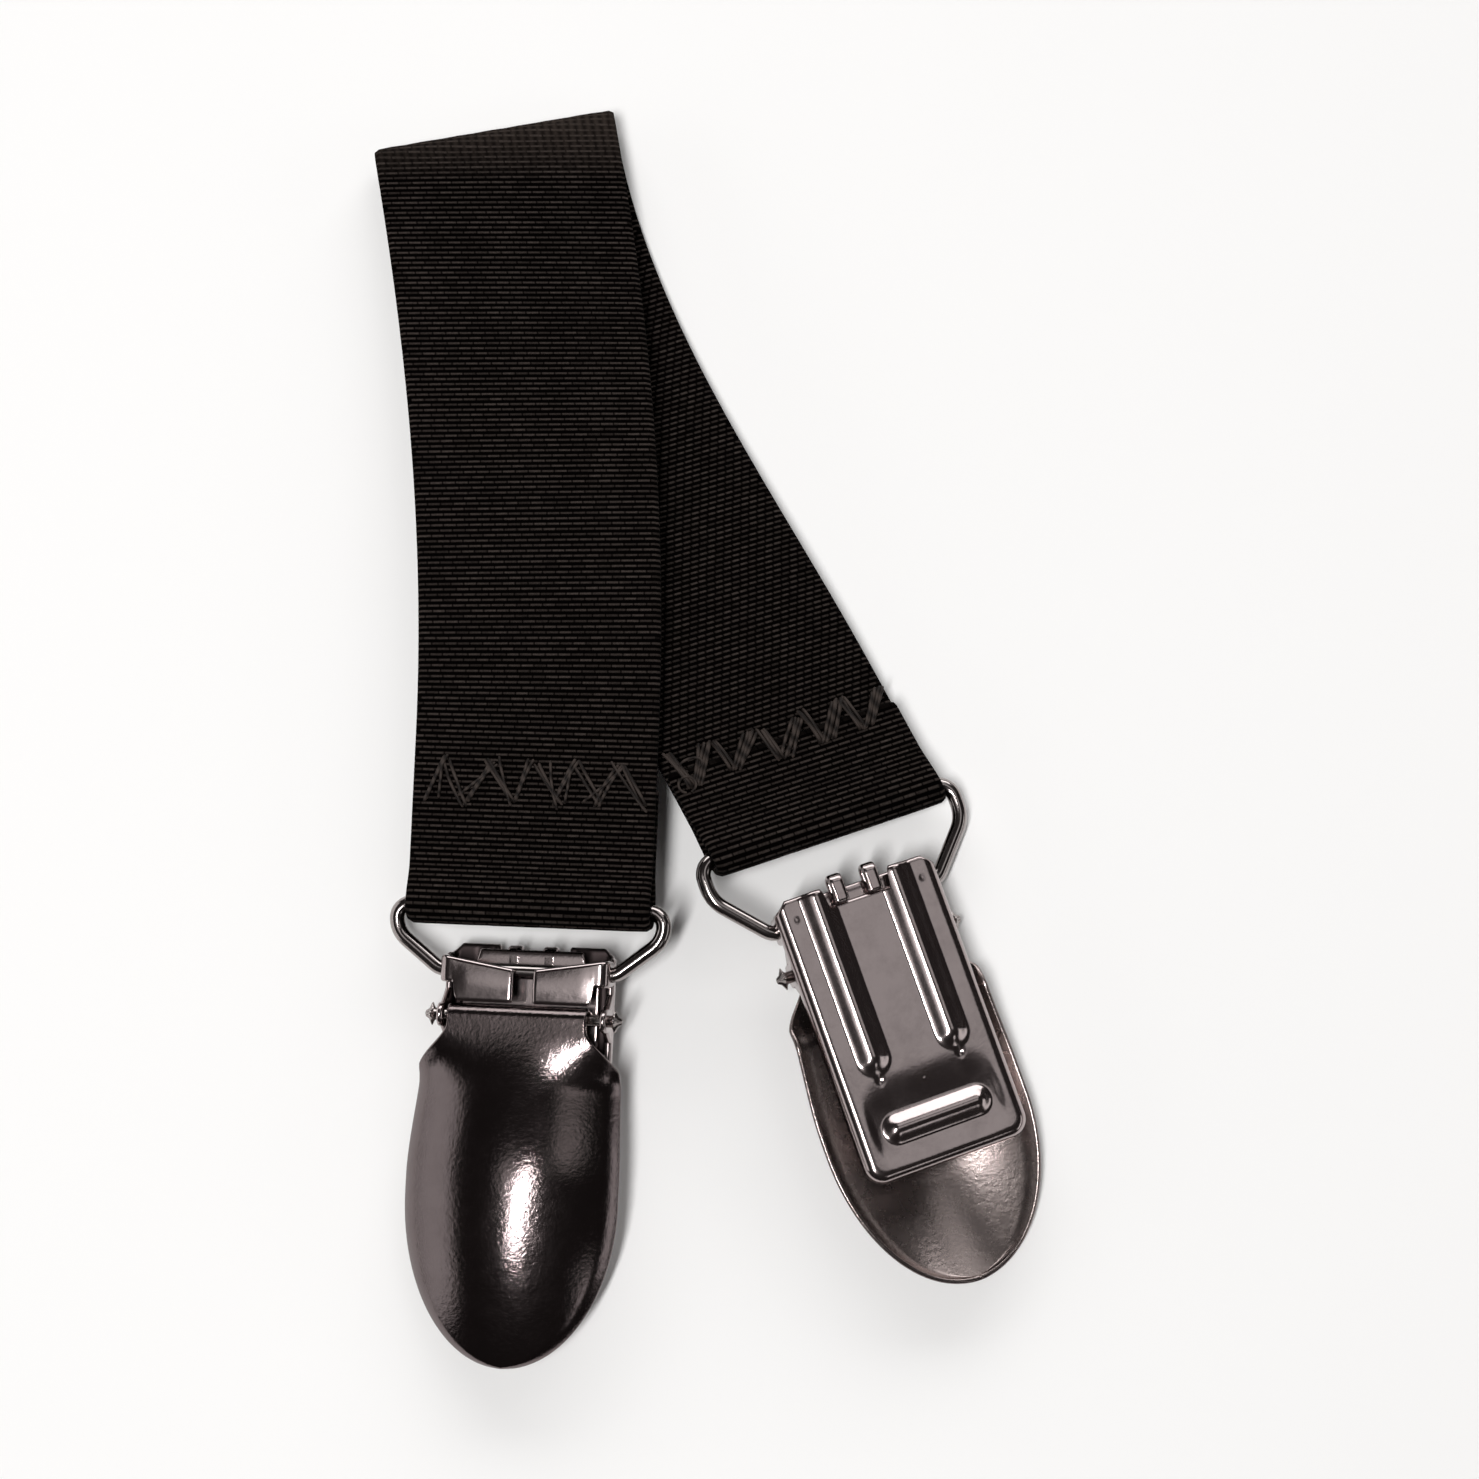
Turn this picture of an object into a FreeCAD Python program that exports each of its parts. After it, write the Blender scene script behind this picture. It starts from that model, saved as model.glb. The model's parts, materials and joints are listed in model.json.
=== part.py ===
"""A clip strap for dress wear: a folded elastic strap with a wire bail and a lever clip at each end.

Everything is in millimetres.  The strap lies folded in half on a table: the left leg is on top with
its clip face up, the right leg is below it with its clip face down.  In the row frame +X is to the
right, +Y runs from the clips to the fold, +Z is up, and the origin is the bottom centre of the
whole part.  Each clip is drawn in its own frame and then placed:
    x across the clip, y towards the strap (0 at the top edge of the back plate),
    z from the rear face of the back plate (0) towards the cover.
"""
import FreeCAD, Part
import math
import os
import re

Vector = FreeCAD.Vector
Rotation = FreeCAD.Rotation
Placement = FreeCAD.Placement

os.makedirs("parts", exist_ok=True)
doc = FreeCAD.newDocument("clip_strap")
sheet = doc.addObject("Spreadsheet::Sheet", "Sizes")

SIZES = {
    # elastic strap
    "strap_width": 25.4,
    "strap_thick": 1.2,
    "hem_squeeze": 0.3,         # how much each edge of a hem is pinched in by the bail
    "left_hem": 14.3,           # folded-over length, from the end of the hem to its raw edge
    "right_hem": 11.5,
    "fold_out": 12.6,           # middle of the fold, half a strap width further left
    "fold_y": 62.4,
    "fold_angle": 10.0,         # the fold line's slope on the table
    "fold_inside": 1.1,         # radius inside the fold
    "stitch_radius": 0.22,
    "stitch_height": 4.6,
    "stitch_turns": 5,
    "stitch_inset": 1.5,        # from a strap edge to the first and last stitch
    "stitch_below": 0.5,        # share of the zigzag that lies below the raw edge
    # wire bail
    "wire_radius": 0.75,
    "bail_gap": 0.15,           # between a strap edge and the wire beside it
    "left_hem_gap": 0.77,       # between a hem and the top of the hooks
    "right_hem_gap": 3.4,
    "knee_share": 0.56,         # height of the bail's knee, as a share of the bail's height
    "bail_corner": 1.2,
    # back plate, flanges and box: one stamping
    "plate_sheet": 0.7,
    "plate_width": 17.2,
    "plate_length": 29.3,
    "plate_corner": 2.0,
    "flange_height": 2.0,
    "flange_bend": 1.1,
    "lip_chamfer": 1.3,
    "notch_gap": 1.05,          # beside each hook
    "notch_depth": 1.9,
    "bead_share": 0.244,        # the long beads' offset, as a share of the plate's width
    "bead_radius": 1.1,
    "bead_height": 0.7,
    "bead_end": 18.7,
    "cross_bead_at": 24.8,
    "cross_bead_share": 0.68,   # the short bead's length, as a share of the plate's width
    "box_height": 4.6,
    "flap_top": 1.1,
    "flap_bottom": 5.75,
    "flap_slope": 9.0,
    "slit_half": 0.95,
    "relief_width": 1.5,
    "relief_top": 3.9,
    "ear_end": 9.8,
    "ear_radius": 1.5,
    "run_down": 2.6,            # lower run of the bail, below the plate's top edge
    "run_gap": 0.17,            # between the lower run's hole and the flaps
    # pivot pin
    "pin_radius": 0.6,
    "pin_point": 1.2,
    "pin_stand_out": 1.4,       # past the ears on each side
    "pin_below_face": 1.0,      # pin axis, behind the outer face of the flaps
    "flap_gap": 0.17,           # between the cover's curl and the flaps
    # cover lever
    "cover_sheet": 0.5,
    "cover_tip": 12.0,          # how far the cover reaches past the back plate
    "cover_overhang": 2.2,      # and past each side of it
    "neck_gap": 0.8,            # between the neck and each ear
    "neck_end": 8.8,
    "shoulder_end": 12.0,
    "tip_length": 16.0,
    "crown_rise": 2.9,
    "crown_at": 24.0,
    "side_drop": 4.0,
    "tip_drop": 3.0,
    "cover_play": 0.5,         # how far the cover sits to one side on its pin
    "nose_gap": 0.15,           # between the cam nose and the closed jaw
    # jaw plate
    "jaw_sheet": 0.6,
    "jaw_gap": 0.7,             # between the jaw plate and each side wall, and its lower end
    "jaw_seat": 0.15,           # between the back plate and the closed jaw
    "jaw_teeth": 6,
    "tooth_depth": 1.1,
    "hook_offset": 1.8,
    "hook_width": 1.5,
    "hook_top": 1.0,
    "hook_end": 2.05,
    # clearances
    "turn_gap": 0.08,           # a wire or pin that turns in a hole
    "seat_gap": 0.03,           # a pin that is held in a hole
    "clear_gap": 0.05,          # two faces that pass each other
    # where each clip lies: the middle of the bail's lower run, then its turns in degrees
    "left_out": 8.3,            # and half a strap width further left
    "left_y": -23.6,
    "left_z": 6.2,
    "left_yaw": -3.0,
    "left_roll": -9.5,
    "left_pitch": 4.0,
    "left_shear": 0.0,
    "right_in": 1.1,            # and half a strap width further right
    "right_y": -17.0,
    "right_z": 5.0,
    "right_yaw": 19.5,
    "right_roll": 10.0,
    "right_pitch": 0.0,
    "right_shear": 9.0,
}

FITS = {
    # places and sizes that follow from the ones above
    "fold_radius": "=fold_inside + strap_thick/2",
    "fold_x": "=-fold_out - strap_width/2",
    "left_x": "=-left_out - strap_width/2",
    "right_x": "=-right_in + strap_width/2",
    "bead_offset": "=bead_share*plate_width",
    "cross_bead_length": "=cross_bead_share*plate_width",
    "bail_half_width": "=strap_width/2 + bail_gap + wire_radius",
    "hem_round": "=wire_radius + turn_gap + strap_thick",
    "bail_reach": "=run_down + hook_top + hem_round",
    "left_bail_height": "=bail_reach + left_hem_gap",
    "right_bail_height": "=bail_reach + right_hem_gap",
    "run_depth": "=box_height - plate_sheet - run_gap - turn_gap - wire_radius",
    "pin_length": "=plate_width + 2*pin_stand_out",
    "pin_depth": "=box_height - pin_below_face",
    "curl_radius": "=pin_radius + turn_gap + cover_sheet",
    "pin_down": "=flap_bottom + flap_gap + curl_radius",
    "cover_length": "=plate_length + cover_tip",
    "cover_half": "=plate_width/2 + cover_overhang",
    "neck_half": "=plate_width/2 - plate_sheet - neck_gap",
    "jaw_half": "=plate_width/2 - plate_sheet - jaw_gap",
    "jaw_lift": "=plate_sheet + jaw_seat",
    "jaw_length": "=plate_length - plate_sheet - jaw_gap",
    "nose_reach": "=pin_depth - jaw_lift - jaw_sheet - nose_gap",
    "notch_half": "=hook_offset + hook_width/2 + notch_gap",
}

for row, (alias, content) in enumerate({**SIZES, **FITS}.items(), start=1):
    sheet.set("A%d" % row, alias)
    sheet.set("B%d" % row, str(content))
    sheet.setAlias("B%d" % row, alias)
doc.recompute()


NAMES = set(SIZES) | set(FITS)


def size(alias):
    """The present value of one cell of the sheet."""
    return float(sheet.get(alias))


# ---------------------------------------------------------------- small helpers


def bind(target, **formulas):
    """Bind properties to formulas on the sheet: a name such as wire_radius means Sizes.wire_radius."""
    for name, formula in formulas.items():
        full = re.sub(r"[a-z_]+", lambda m: "Sizes." * (m.group() in NAMES) + m.group(), formula)
        target.setExpression(name.replace("__", "."), full)


def set_base(target, x, y, z):
    """Bind the position of a primitive."""
    bind(target, Placement__Base__x=x, Placement__Base__y=y, Placement__Base__z=z)


def block(name, at, lengths, turn=0.0):
    """A box from its low corner, turned about the z axis through that corner."""
    made = doc.addObject("Part::Box", name)
    made.Placement = Placement(Vector(), Rotation(Vector(0, 0, 1), turn))
    bind(made, Length=lengths[0], Width=lengths[1], Height=lengths[2])
    set_base(made, *at)
    return made


def rod(name, at, radius, length, direction=Vector(1, 0, 0), end_radius=None):
    """A round bar or a cone that starts at a point and runs in a direction."""
    made = doc.addObject("Part::Cone" if end_radius else "Part::Cylinder", name)
    made.Placement = Placement(Vector(), Rotation(Vector(0, 0, 1), direction))
    if end_radius:
        bind(made, Radius1=radius, Radius2=end_radius, Height=length)
    else:
        bind(made, Radius=radius, Height=length)
    set_base(made, *at)
    return made


def ball(name, at, radius):
    """A sphere."""
    made = doc.addObject("Part::Sphere", name)
    bind(made, Radius=radius)
    set_base(made, *at)
    return made


def fuse(name, pieces):
    """One solid from several that touch."""
    made = doc.addObject("Part::MultiFuse", name)
    made.Shapes = list(pieces)
    return made


def cut(name, base, tools):
    """The base with every tool taken out of it."""
    made = doc.addObject("Part::Cut", name)
    made.Base = base
    made.Tool = fuse(name + "_tools", tools) if len(tools) > 1 else tools[0]
    return made


def round_edges(name, base, radius, chosen):
    """Fillet the edges whose middle point passes the test."""
    doc.recompute()
    made = doc.addObject("Part::Fillet", name)
    made.Base = base
    picked = []
    for number, edge in enumerate(base.Shape.Edges, start=1):
        middle = edge.valueAt((edge.FirstParameter + edge.LastParameter) / 2)
        if chosen(middle):
            picked.append((number, radius, radius))
    made.Edges = picked
    return made


def smooth(t):
    """0 before 0, 1 after 1, and a smooth step between."""
    t = min(max(t, 0.0), 1.0)
    return t * t * (3 - 2 * t)


def own_plane(body, role):
    """One of a body's origin planes."""
    return next(f for f in body.Origin.OriginFeatures if f.Role == role)


def outline_pad(body, name, role, points, length, offset, middle=False):
    """A pad of a closed outline, drawn on one of the body's origin planes."""
    sketch = body.newObject("Sketcher::SketchObject", name + "_sketch")
    sketch.AttachmentSupport = [(own_plane(body, role), "")]
    sketch.MapMode = "FlatFace"
    bind(sketch, AttachmentOffset__Base__z=offset)
    for start, end in zip(points, points[1:] + points[:1]):
        sketch.addGeometry(Part.LineSegment(Vector(*start, 0), Vector(*end, 0)), False)
    pad = body.newObject("PartDesign::Pad", name)
    pad.Profile = sketch
    bind(pad, Length=length)
    pad.Midplane = middle
    return pad


# ---------------------------------------------------------------- one clip, in its own frame

BEAD_BOTTOM = "bead_radius - bead_height"
SIDES = (("a", -1), ("b", 1))


def build_tray(tag):
    """Back plate with its bent-up flanges and chamfered lip, open at the top."""
    near = 1e-3
    half = size("plate_width") / 2
    bottom = -size("plate_length")
    inner_half = half - size("plate_sheet")
    inner_bottom = bottom + size("plate_sheet")
    shell = block(tag + "shell", ("-plate_width/2", "-plate_length", "0"),
                  ("plate_width", "plate_length", "flange_height"))
    corners = round_edges(tag + "corners", shell, size("plate_corner"),
                          lambda p: p.y < bottom + near and half - abs(p.x) < near
                          and near < p.z < size("flange_height") - near)
    bent = round_edges(tag + "bent", corners, size("flange_bend"),
                       lambda p: p.z < near and (half - abs(p.x) < size("plate_corner") / 2
                                                 or p.y < bottom + near))
    hollow = block(tag + "hollow", ("plate_sheet - plate_width/2", "plate_sheet - plate_length",
                                    "plate_sheet"),
                   ("plate_width - 2*plate_sheet", "plate_length", "flange_height"))
    inside = round_edges(tag + "inside", hollow, size("plate_corner") - size("plate_sheet"),
                         lambda p: p.y < inner_bottom + near and inner_half - abs(p.x) < near
                         and p.z > size("plate_sheet") + near)
    return cut(tag + "tray", bent, [inside])


def build_housing(tag):
    """Back plate, beads, box, flaps and ears in one stamping."""
    reach = "(cross_bead_length/2 - bead_radius)"
    pieces = [build_tray(tag)]
    pieces.append(rod(tag + "cross", ("-" + reach, "-cross_bead_at", BEAD_BOTTOM),
                      "bead_radius", "2*" + reach))
    for side, sign in SIDES:
        wall_at = "plate_width/2 - plate_sheet" if sign > 0 else "-plate_width/2"
        flap_at = "slit_half" if sign > 0 else "-plate_width/2"
        pieces.append(block(tag + "wall" + side, (wall_at, "-relief_top", "flange_bend"),
                            ("plate_sheet", "relief_top - flap_top", "box_height - flange_bend")))
        pieces.append(block(tag + "flap" + side, (flap_at, "-flap_bottom", "box_height - plate_sheet"),
                            ("plate_width/2 - slit_half", "flap_bottom - flap_top", "plate_sheet")))
        ear = doc.addObject("Part::Wedge", tag + "ear" + side)
        ear.Placement = Placement(Vector(), Rotation(Vector(1, 0, 0), 90))
        bind(ear, Xmin="0", Xmax="plate_sheet", X2min="0", X2max="plate_sheet",
             Ymin="flange_bend", Ymax="pin_depth", Zmin="relief_top", Zmax="ear_end",
             Z2min="pin_down - ear_radius", Z2max="pin_down + ear_radius")
        set_base(ear, wall_at, "0", "0")
        pieces.append(ear)
        pieces.append(rod(tag + "eye" + side, (wall_at, "-pin_down", "pin_depth"),
                          "ear_radius", "plate_sheet"))
        bead_x = str(sign) + "*bead_offset"
        pieces.append(rod(tag + "bead" + side, (bead_x, "bead_radius - bead_end", BEAD_BOTTOM),
                          "bead_radius", "bead_end - bead_radius - hook_end - 2*clear_gap",
                          Vector(0, 1, 0)))
        pieces.append(ball(tag + "bead_tip" + side, (bead_x, "bead_radius - bead_end", BEAD_BOTTOM),
                           "bead_radius"))
        pieces.append(ball(tag + "cross_tip" + side,
                           (str(sign) + "*" + reach, "-cross_bead_at", BEAD_BOTTOM), "bead_radius"))
    solid = fuse(tag + "solid", pieces)

    tools = [
        block(tag + "bead_trim", ("plate_corner - plate_width/2", "plate_corner - plate_length",
                                  "plate_sheet"),
              ("plate_width - 2*plate_corner", "plate_length", "bead_radius")),
        block(tag + "notch", ("-notch_half", "-notch_depth", "-plate_sheet"),
              ("2*notch_half", "notch_depth + 1", "3*plate_sheet")),
        rod(tag + "run_hole", ("-plate_width", "-run_down", "run_depth"),
            "wire_radius + turn_gap", "2*plate_width"),
        rod(tag + "pin_hole", ("-plate_width", "-pin_down", "pin_depth"),
            "pin_radius + seat_gap", "2*plate_width"),
    ]
    slope = size("flap_slope")
    flap_level = "box_height - plate_sheet"
    dip_size = ("(plate_width/2 - slit_half)/cos(flap_slope)", "flap_bottom", "plate_sheet")
    tools.append(block(tag + "dip_a", ("-plate_width/2", "-flap_top", flap_level), dip_size, -slope))
    tools.append(block(tag + "dip_b", ("slit_half", "-flap_top"
                                       " - (plate_width/2 - slit_half)*tan(flap_slope)", flap_level),
                       dip_size, slope))
    for side, sign in SIDES:
        relief_at = "plate_width/2 - relief_width" if sign > 0 else "-plate_width/2 - 1"
        tools.append(block(tag + "relief" + side, (relief_at, "-flap_bottom - 1", flap_level),
                           ("relief_width + 1", "flap_bottom + 1 - relief_top", "plate_sheet")))
        chamfer_at = "plate_width/2 - lip_chamfer" if sign > 0 else "-plate_width/2 + lip_chamfer"
        turn = -45 if sign > 0 else 135
        corner = block(tag + "lip_corner" + side, (chamfer_at, "0", "-1"),
                       ("2*lip_chamfer", "2*lip_chamfer", "flange_height + 2"), turn)
        tools.append(corner)
    return cut(tag + "housing", solid, tools)


def build_pin(tag):
    """Pivot pin with its nipped, pointed ends."""
    bar = rod(tag + "bar", ("pin_point - pin_length/2", "-pin_down", "pin_depth"),
              "pin_radius", "pin_length - 2*pin_point")
    ends = []
    for side, sign in SIDES:
        start = str(sign) + "*(pin_length/2 - pin_point)"
        ends.append(rod(tag + "point" + side, (start, "-pin_down", "pin_depth"),
                        "pin_radius", "pin_point", Vector(sign, 0, 0), "pin_radius/4"))
    return fuse(tag + "pin", [bar] + ends)


def bail_outline(side):
    """Corner points of the bail's middle line, from the lower run's right end round to its left."""
    out = size("bail_half_width")
    rise = size(side + "_bail_height")
    low = -size("run_down")
    foot = size("plate_width") / 2 + size("wire_radius") / 2
    knee = low + size("knee_share") * rise
    return [Vector(x, y, size("run_depth")) for x, y in
            ((foot, low), (out, knee), (out, low + rise), (-out, low + rise), (-out, knee), (-foot, low))]


def rounded_loop(corners, radius):
    """A closed wire through the corners, each one rounded by an arc."""
    edges = []
    joints = []
    count = len(corners)
    for i, corner in enumerate(corners):
        before = (corners[i - 1] - corner).normalize()
        after = (corners[(i + 1) % count] - corner).normalize()
        half_angle = before.getAngle(after) / 2
        back = radius / math.tan(half_angle)
        centre = corner + (before + after).normalize() * (radius / math.sin(half_angle))
        start = corner + before * back
        end = corner + after * back
        middle = centre + (corner - centre).normalize() * radius
        joints.append((start, middle, end))
    for i, (start, middle, end) in enumerate(joints):
        edges.append(Part.Arc(start, middle, end).toShape())
        edges.append(Part.LineSegment(end, joints[(i + 1) % count][0]).toShape())
    return Part.Wire(edges)


def build_bail(side):
    """Round wire bent to a closed loop; its lower run turns in the box, its upper run in the hem."""
    made = doc.addObject("Part::Feature", side + "_bail")
    made.Shape = sweep_closed(rounded_loop(bail_outline(side), size("bail_corner")), size("wire_radius"))
    return made


def sweep_closed(loop, radius):
    """Sweep a circle once round a closed loop, edge by edge, and join the tubes to one solid."""
    edges = loop.OrderedEdges
    longest = max(range(len(edges)), key=lambda i: edges[i].Length)
    tubes = []
    for edge in edges[longest:] + edges[:longest]:
        at = edge.valueAt(edge.FirstParameter)
        along = edge.tangentAt(edge.FirstParameter)
        section = Part.Wire(Part.makeCircle(radius, at, along))
        tubes.append(Part.Wire([edge]).makePipeShell([section], True, True))
    return tubes[0].fuse(tubes[1:]).removeSplitter()


# ---------------------------------------------------------------- cover lever


def cover_half_width(down):
    """Half the cover's width at a distance below the plate's top edge."""
    neck, side = size("neck_half"), size("cover_half")
    grow = smooth((down - size("neck_end")) / (size("shoulder_end") - size("neck_end")))
    half = neck + (side - neck) * grow
    into_tip = (down - size("cover_length") + size("tip_length")) / size("tip_length")
    return half * math.sqrt(1 - min(max(into_tip, 0.0), 0.995) ** 2)


def cover_height(down, x):
    """Height of the cover's middle surface: a flat neck that swells to a dome with low sides."""
    start = size("pin_depth") + size("pin_radius") + size("turn_gap") + size("cover_sheet") / 2
    rise = size("crown_rise") * smooth((down - size("pin_down")) / (size("crown_at") - size("pin_down")))
    past = max(0.0, (down - size("crown_at")) / (size("cover_length") - size("crown_at")))
    crown = start + rise - size("tip_drop") * past ** 2
    bend = smooth((down - size("neck_end") + 0.5) / (size("shoulder_end") - size("neck_end") + 3))
    return crown - size("side_drop") * bend * (x / size("cover_half")) ** 2


def cover_skin(offset):
    """One face of the cover as a smooth surface through a grid of points."""
    along, across = 36, 12
    first = size("pin_down")
    grid = []
    for i in range(along + 1):
        down = first + (size("cover_length") - first) * math.sin(math.pi / 2 * i / along)
        half = cover_half_width(down)
        grid.append([Vector(half * (2 * j / across - 1), -down,
                            cover_height(down, half * (2 * j / across - 1)) + offset)
                     for j in range(across + 1)])
    surface = Part.BSplineSurface()
    surface.interpolate(grid)
    return surface


def build_cover(tag, play):
    """Domed lever with a neck, a curl round the pin and a cam nose that presses the jaw."""
    half_sheet = size("cover_sheet") / 2
    outer = cover_skin(half_sheet)
    inner = cover_skin(-half_sheet)
    faces = [outer.toShape(), inner.toShape()]
    limits = outer.bounds()
    for iso, at in (("u", limits[0]), ("u", limits[1]), ("v", limits[2]), ("v", limits[3])):
        top, low = ((s.uIso(at) if iso == "u" else s.vIso(at)).toShape() for s in (outer, inner))
        faces.append(Part.makeRuledSurface(top, low))
    shell = Part.makeShell(faces)
    shell.sewShape()
    dome = Part.makeSolid(shell)
    if dome.Volume < 0:
        dome.reverse()

    axis = Vector(0, -size("pin_down"), size("pin_depth"))
    hole = size("pin_radius") + size("turn_gap")
    across = Vector(1, 0, 0)
    left_end = axis - across * size("neck_half")
    curl = Part.makeCylinder(hole + size("cover_sheet"), 2 * size("neck_half"), left_end, across)
    nose_bottom = axis.z - size("nose_reach")
    nose = Part.makeBox(2 * size("neck_half"), size("cover_sheet"), size("nose_reach") - hole,
                        Vector(-size("neck_half"), axis.y - half_sheet, nose_bottom))
    bore = Part.makeCylinder(hole, 4 * size("neck_half"), left_end - across * size("neck_half"), across)
    solid = dome.fuse([curl, nose]).cut(bore)
    solid.translate(across * play)
    made = doc.addObject("Part::Feature", tag + "cover")
    made.Shape = solid
    return made


# ---------------------------------------------------------------- jaw plate


def jaw_points():
    """Outline of the jaw plate: square shoulders below the notch and teeth along the lower edge."""
    half = size("jaw_half")
    top = -size("notch_depth") - size("clear_gap")
    teeth = int(size("jaw_teeth"))
    bottom = -size("jaw_length")
    points = [(-half, top), (half, top)]
    for i in range(2 * teeth + 1):
        x = half - i * half / teeth
        points.append((x, bottom + (size("tooth_depth") if i % 2 else 0.0)))
    return points


def hook_points():
    """Side view of one hook: up in front of the plate, over its top edge and down behind it."""
    front, back = size("jaw_lift"), -size("clear_gap")
    sheet_front = front + size("jaw_sheet")
    sheet_back = back - size("jaw_sheet")
    top = size("hook_top")
    return [(-size("notch_depth") - 2 * size("jaw_sheet"), sheet_front),
            (-size("notch_depth") - 2 * size("jaw_sheet"), front),
            (top - size("jaw_sheet"), front), (top - size("jaw_sheet"), back),
            (-size("hook_end"), back), (-size("hook_end"), sheet_back),
            (top, sheet_back), (top, sheet_front)]


def build_jaw(tag):
    """Toothed plate that hangs by two hooks in the back plate's notch and bites on its lower edge."""
    body = doc.addObject("PartDesign::Body", tag + "jaw")
    outline_pad(body, tag + "jaw_blade", "XY_Plane", jaw_points(), "jaw_sheet", "jaw_lift")
    for side, sign in SIDES:
        outline_pad(body, tag + "hook" + side, "YZ_Plane", hook_points(), "hook_width",
                    str(sign) + "*hook_offset", middle=True)
    return body


# ---------------------------------------------------------------- the strap


def clip_placement(side):
    """Where a clip lies in the layout; the right one is turned face down."""
    turn = Rotation(size(side + "_yaw"), size(side + "_roll"), size(side + "_pitch"))
    if side == "right":
        turn = turn * Rotation(Vector(0, 1, 0), 180)
    run = Vector(0, -size("run_down"), size("run_depth"))
    place = Vector(size(side + "_x"), size(side + "_y"), size(side + "_z"))
    return Placement(place - turn.multVec(run), turn)


def hem_levels(side):
    """Side profile of a hem: distance up from the bail's upper run, then inner and outer level."""
    thick = size("strap_thick")
    round_hem = size("hem_round")
    hem = size(side + "_hem") - round_hem
    # how far up and how thick the hem is round the wire, both as shares of its round end
    stages = [(-0.98, 0.35), (-0.75, 0.7), (-0.35, 0.95), (0.0, 1.0), (0.6, 0.9), (1.4, 0.68)]
    levels = [(a * round_hem, -b * round_hem, b * round_hem) for a, b in stages]
    levels += [(2.4 * round_hem, -thick, thick), (hem, -thick, thick),
               (hem + thick / 2, 0.0, thick), (hem + size("stitch_height"), 0.0, thick)]
    return levels


def section(corner_points):
    """A closed four-sided wire."""
    return Part.makePolygon(corner_points + corner_points[:1])


def hem_sections(side, place):
    """Sections of one hem and the flat start of its leg, from the hem's end upwards."""
    half = size("strap_width") / 2 - size("hem_squeeze")
    lean = math.tan(math.radians(size(side + "_shear")))
    run_y = size(side + "_bail_height") - size("run_down")
    made = []
    for up, low, high in hem_levels(side):
        x = lean * up
        z = size("run_depth")
        made.append([place.multVec(Vector(*p)) for p in
                     ((x - half, run_y + up, z + low), (x + half, run_y + up, z + low),
                      (x + half, run_y + up, z + high), (x - half, run_y + up, z + high))])
    return made


def fold_sections():
    """Sections round the fold, from the upper leg to the lower one."""
    angle = math.radians(size("fold_angle"))
    across = Vector(math.cos(angle), math.sin(angle), 0)
    beyond = Vector(-math.sin(angle), math.cos(angle), 0)
    up = Vector(0, 0, 1)
    inner = size("fold_radius") - size("strap_thick") / 2
    outer = inner + size("strap_thick")
    centre = Vector(size("fold_x"), size("fold_y"), outer)
    half = size("strap_width") / 2
    steps = 8
    made = []
    for i in range(steps + 1):
        turn = math.pi * i / steps
        spoke = up * math.cos(turn) + beyond * math.sin(turn)
        made.append([centre + across * x + spoke * r for x, r in
                     ((-half, inner), (half, inner), (half, outer), (-half, outer))])
    return made


def leg_sections(start, end, along, shear):
    """Sections between a hem and the fold: each corner follows its own smooth curve."""
    start_way = (along[0] + shear).normalize()
    steps = 9
    made = []
    span = (end[0] - start[0]).Length
    for i in range(1, steps):
        t = i / steps
        h00 = 2 * t ** 3 - 3 * t ** 2 + 1
        h10 = t ** 3 - 2 * t ** 2 + t
        h01 = 3 * t ** 2 - 2 * t ** 3
        h11 = t ** 3 - t ** 2
        made.append([a * h00 + start_way * (span * h10) + b * h01 + along[1] * (span * h11)
                     for a, b in zip(start, end)])
    return made


def build_strap():
    """The whole strap as one solid: hem, upper leg, fold, lower leg, hem."""
    angle = math.radians(size("fold_angle"))
    beyond = Vector(-math.sin(angle), math.cos(angle), 0)
    fold = fold_sections()
    left_place, right_place = clip_placement("left"), clip_placement("right")
    left, right = hem_sections("left", left_place), hem_sections("right", right_place)
    # The face-down leg is mirrored, so its corners are put in the order of the upper leg's.
    right = [[c[1], c[0], c[3], c[2]] for c in right]
    parts = list(left)
    for side, place, hem, bend in (("left", left_place, left, fold[0]),
                                   ("right", right_place, right, fold[-1])):
        upward = place.Rotation.multVec(Vector(0, 1, 0))
        lean = place.Rotation.multVec(Vector(1, 0, 0)) * math.tan(math.radians(size(side + "_shear")))
        leg = leg_sections(hem[-1], bend, (upward, beyond), lean)
        parts += leg + fold if side == "left" else leg[::-1]
    parts += right[::-1]
    solid = Part.makeLoft([section(p) for p in parts], True, True)
    for side, place in (("left", left_place), ("right", right_place)):
        run_y = size(side + "_bail_height") - size("run_down")
        ends = [place.multVec(Vector(s * size("strap_width"), run_y, size("run_depth")))
                for s in (-1, 1)]
        tunnel = Part.makeCylinder(size("wire_radius") + size("turn_gap"), (ends[1] - ends[0]).Length,
                                   ends[0], ends[1] - ends[0])
        solid = solid.cut(tunnel)
    made = doc.addObject("Part::Feature", "elastic_strap")
    made.Shape = solid
    return made


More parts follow.
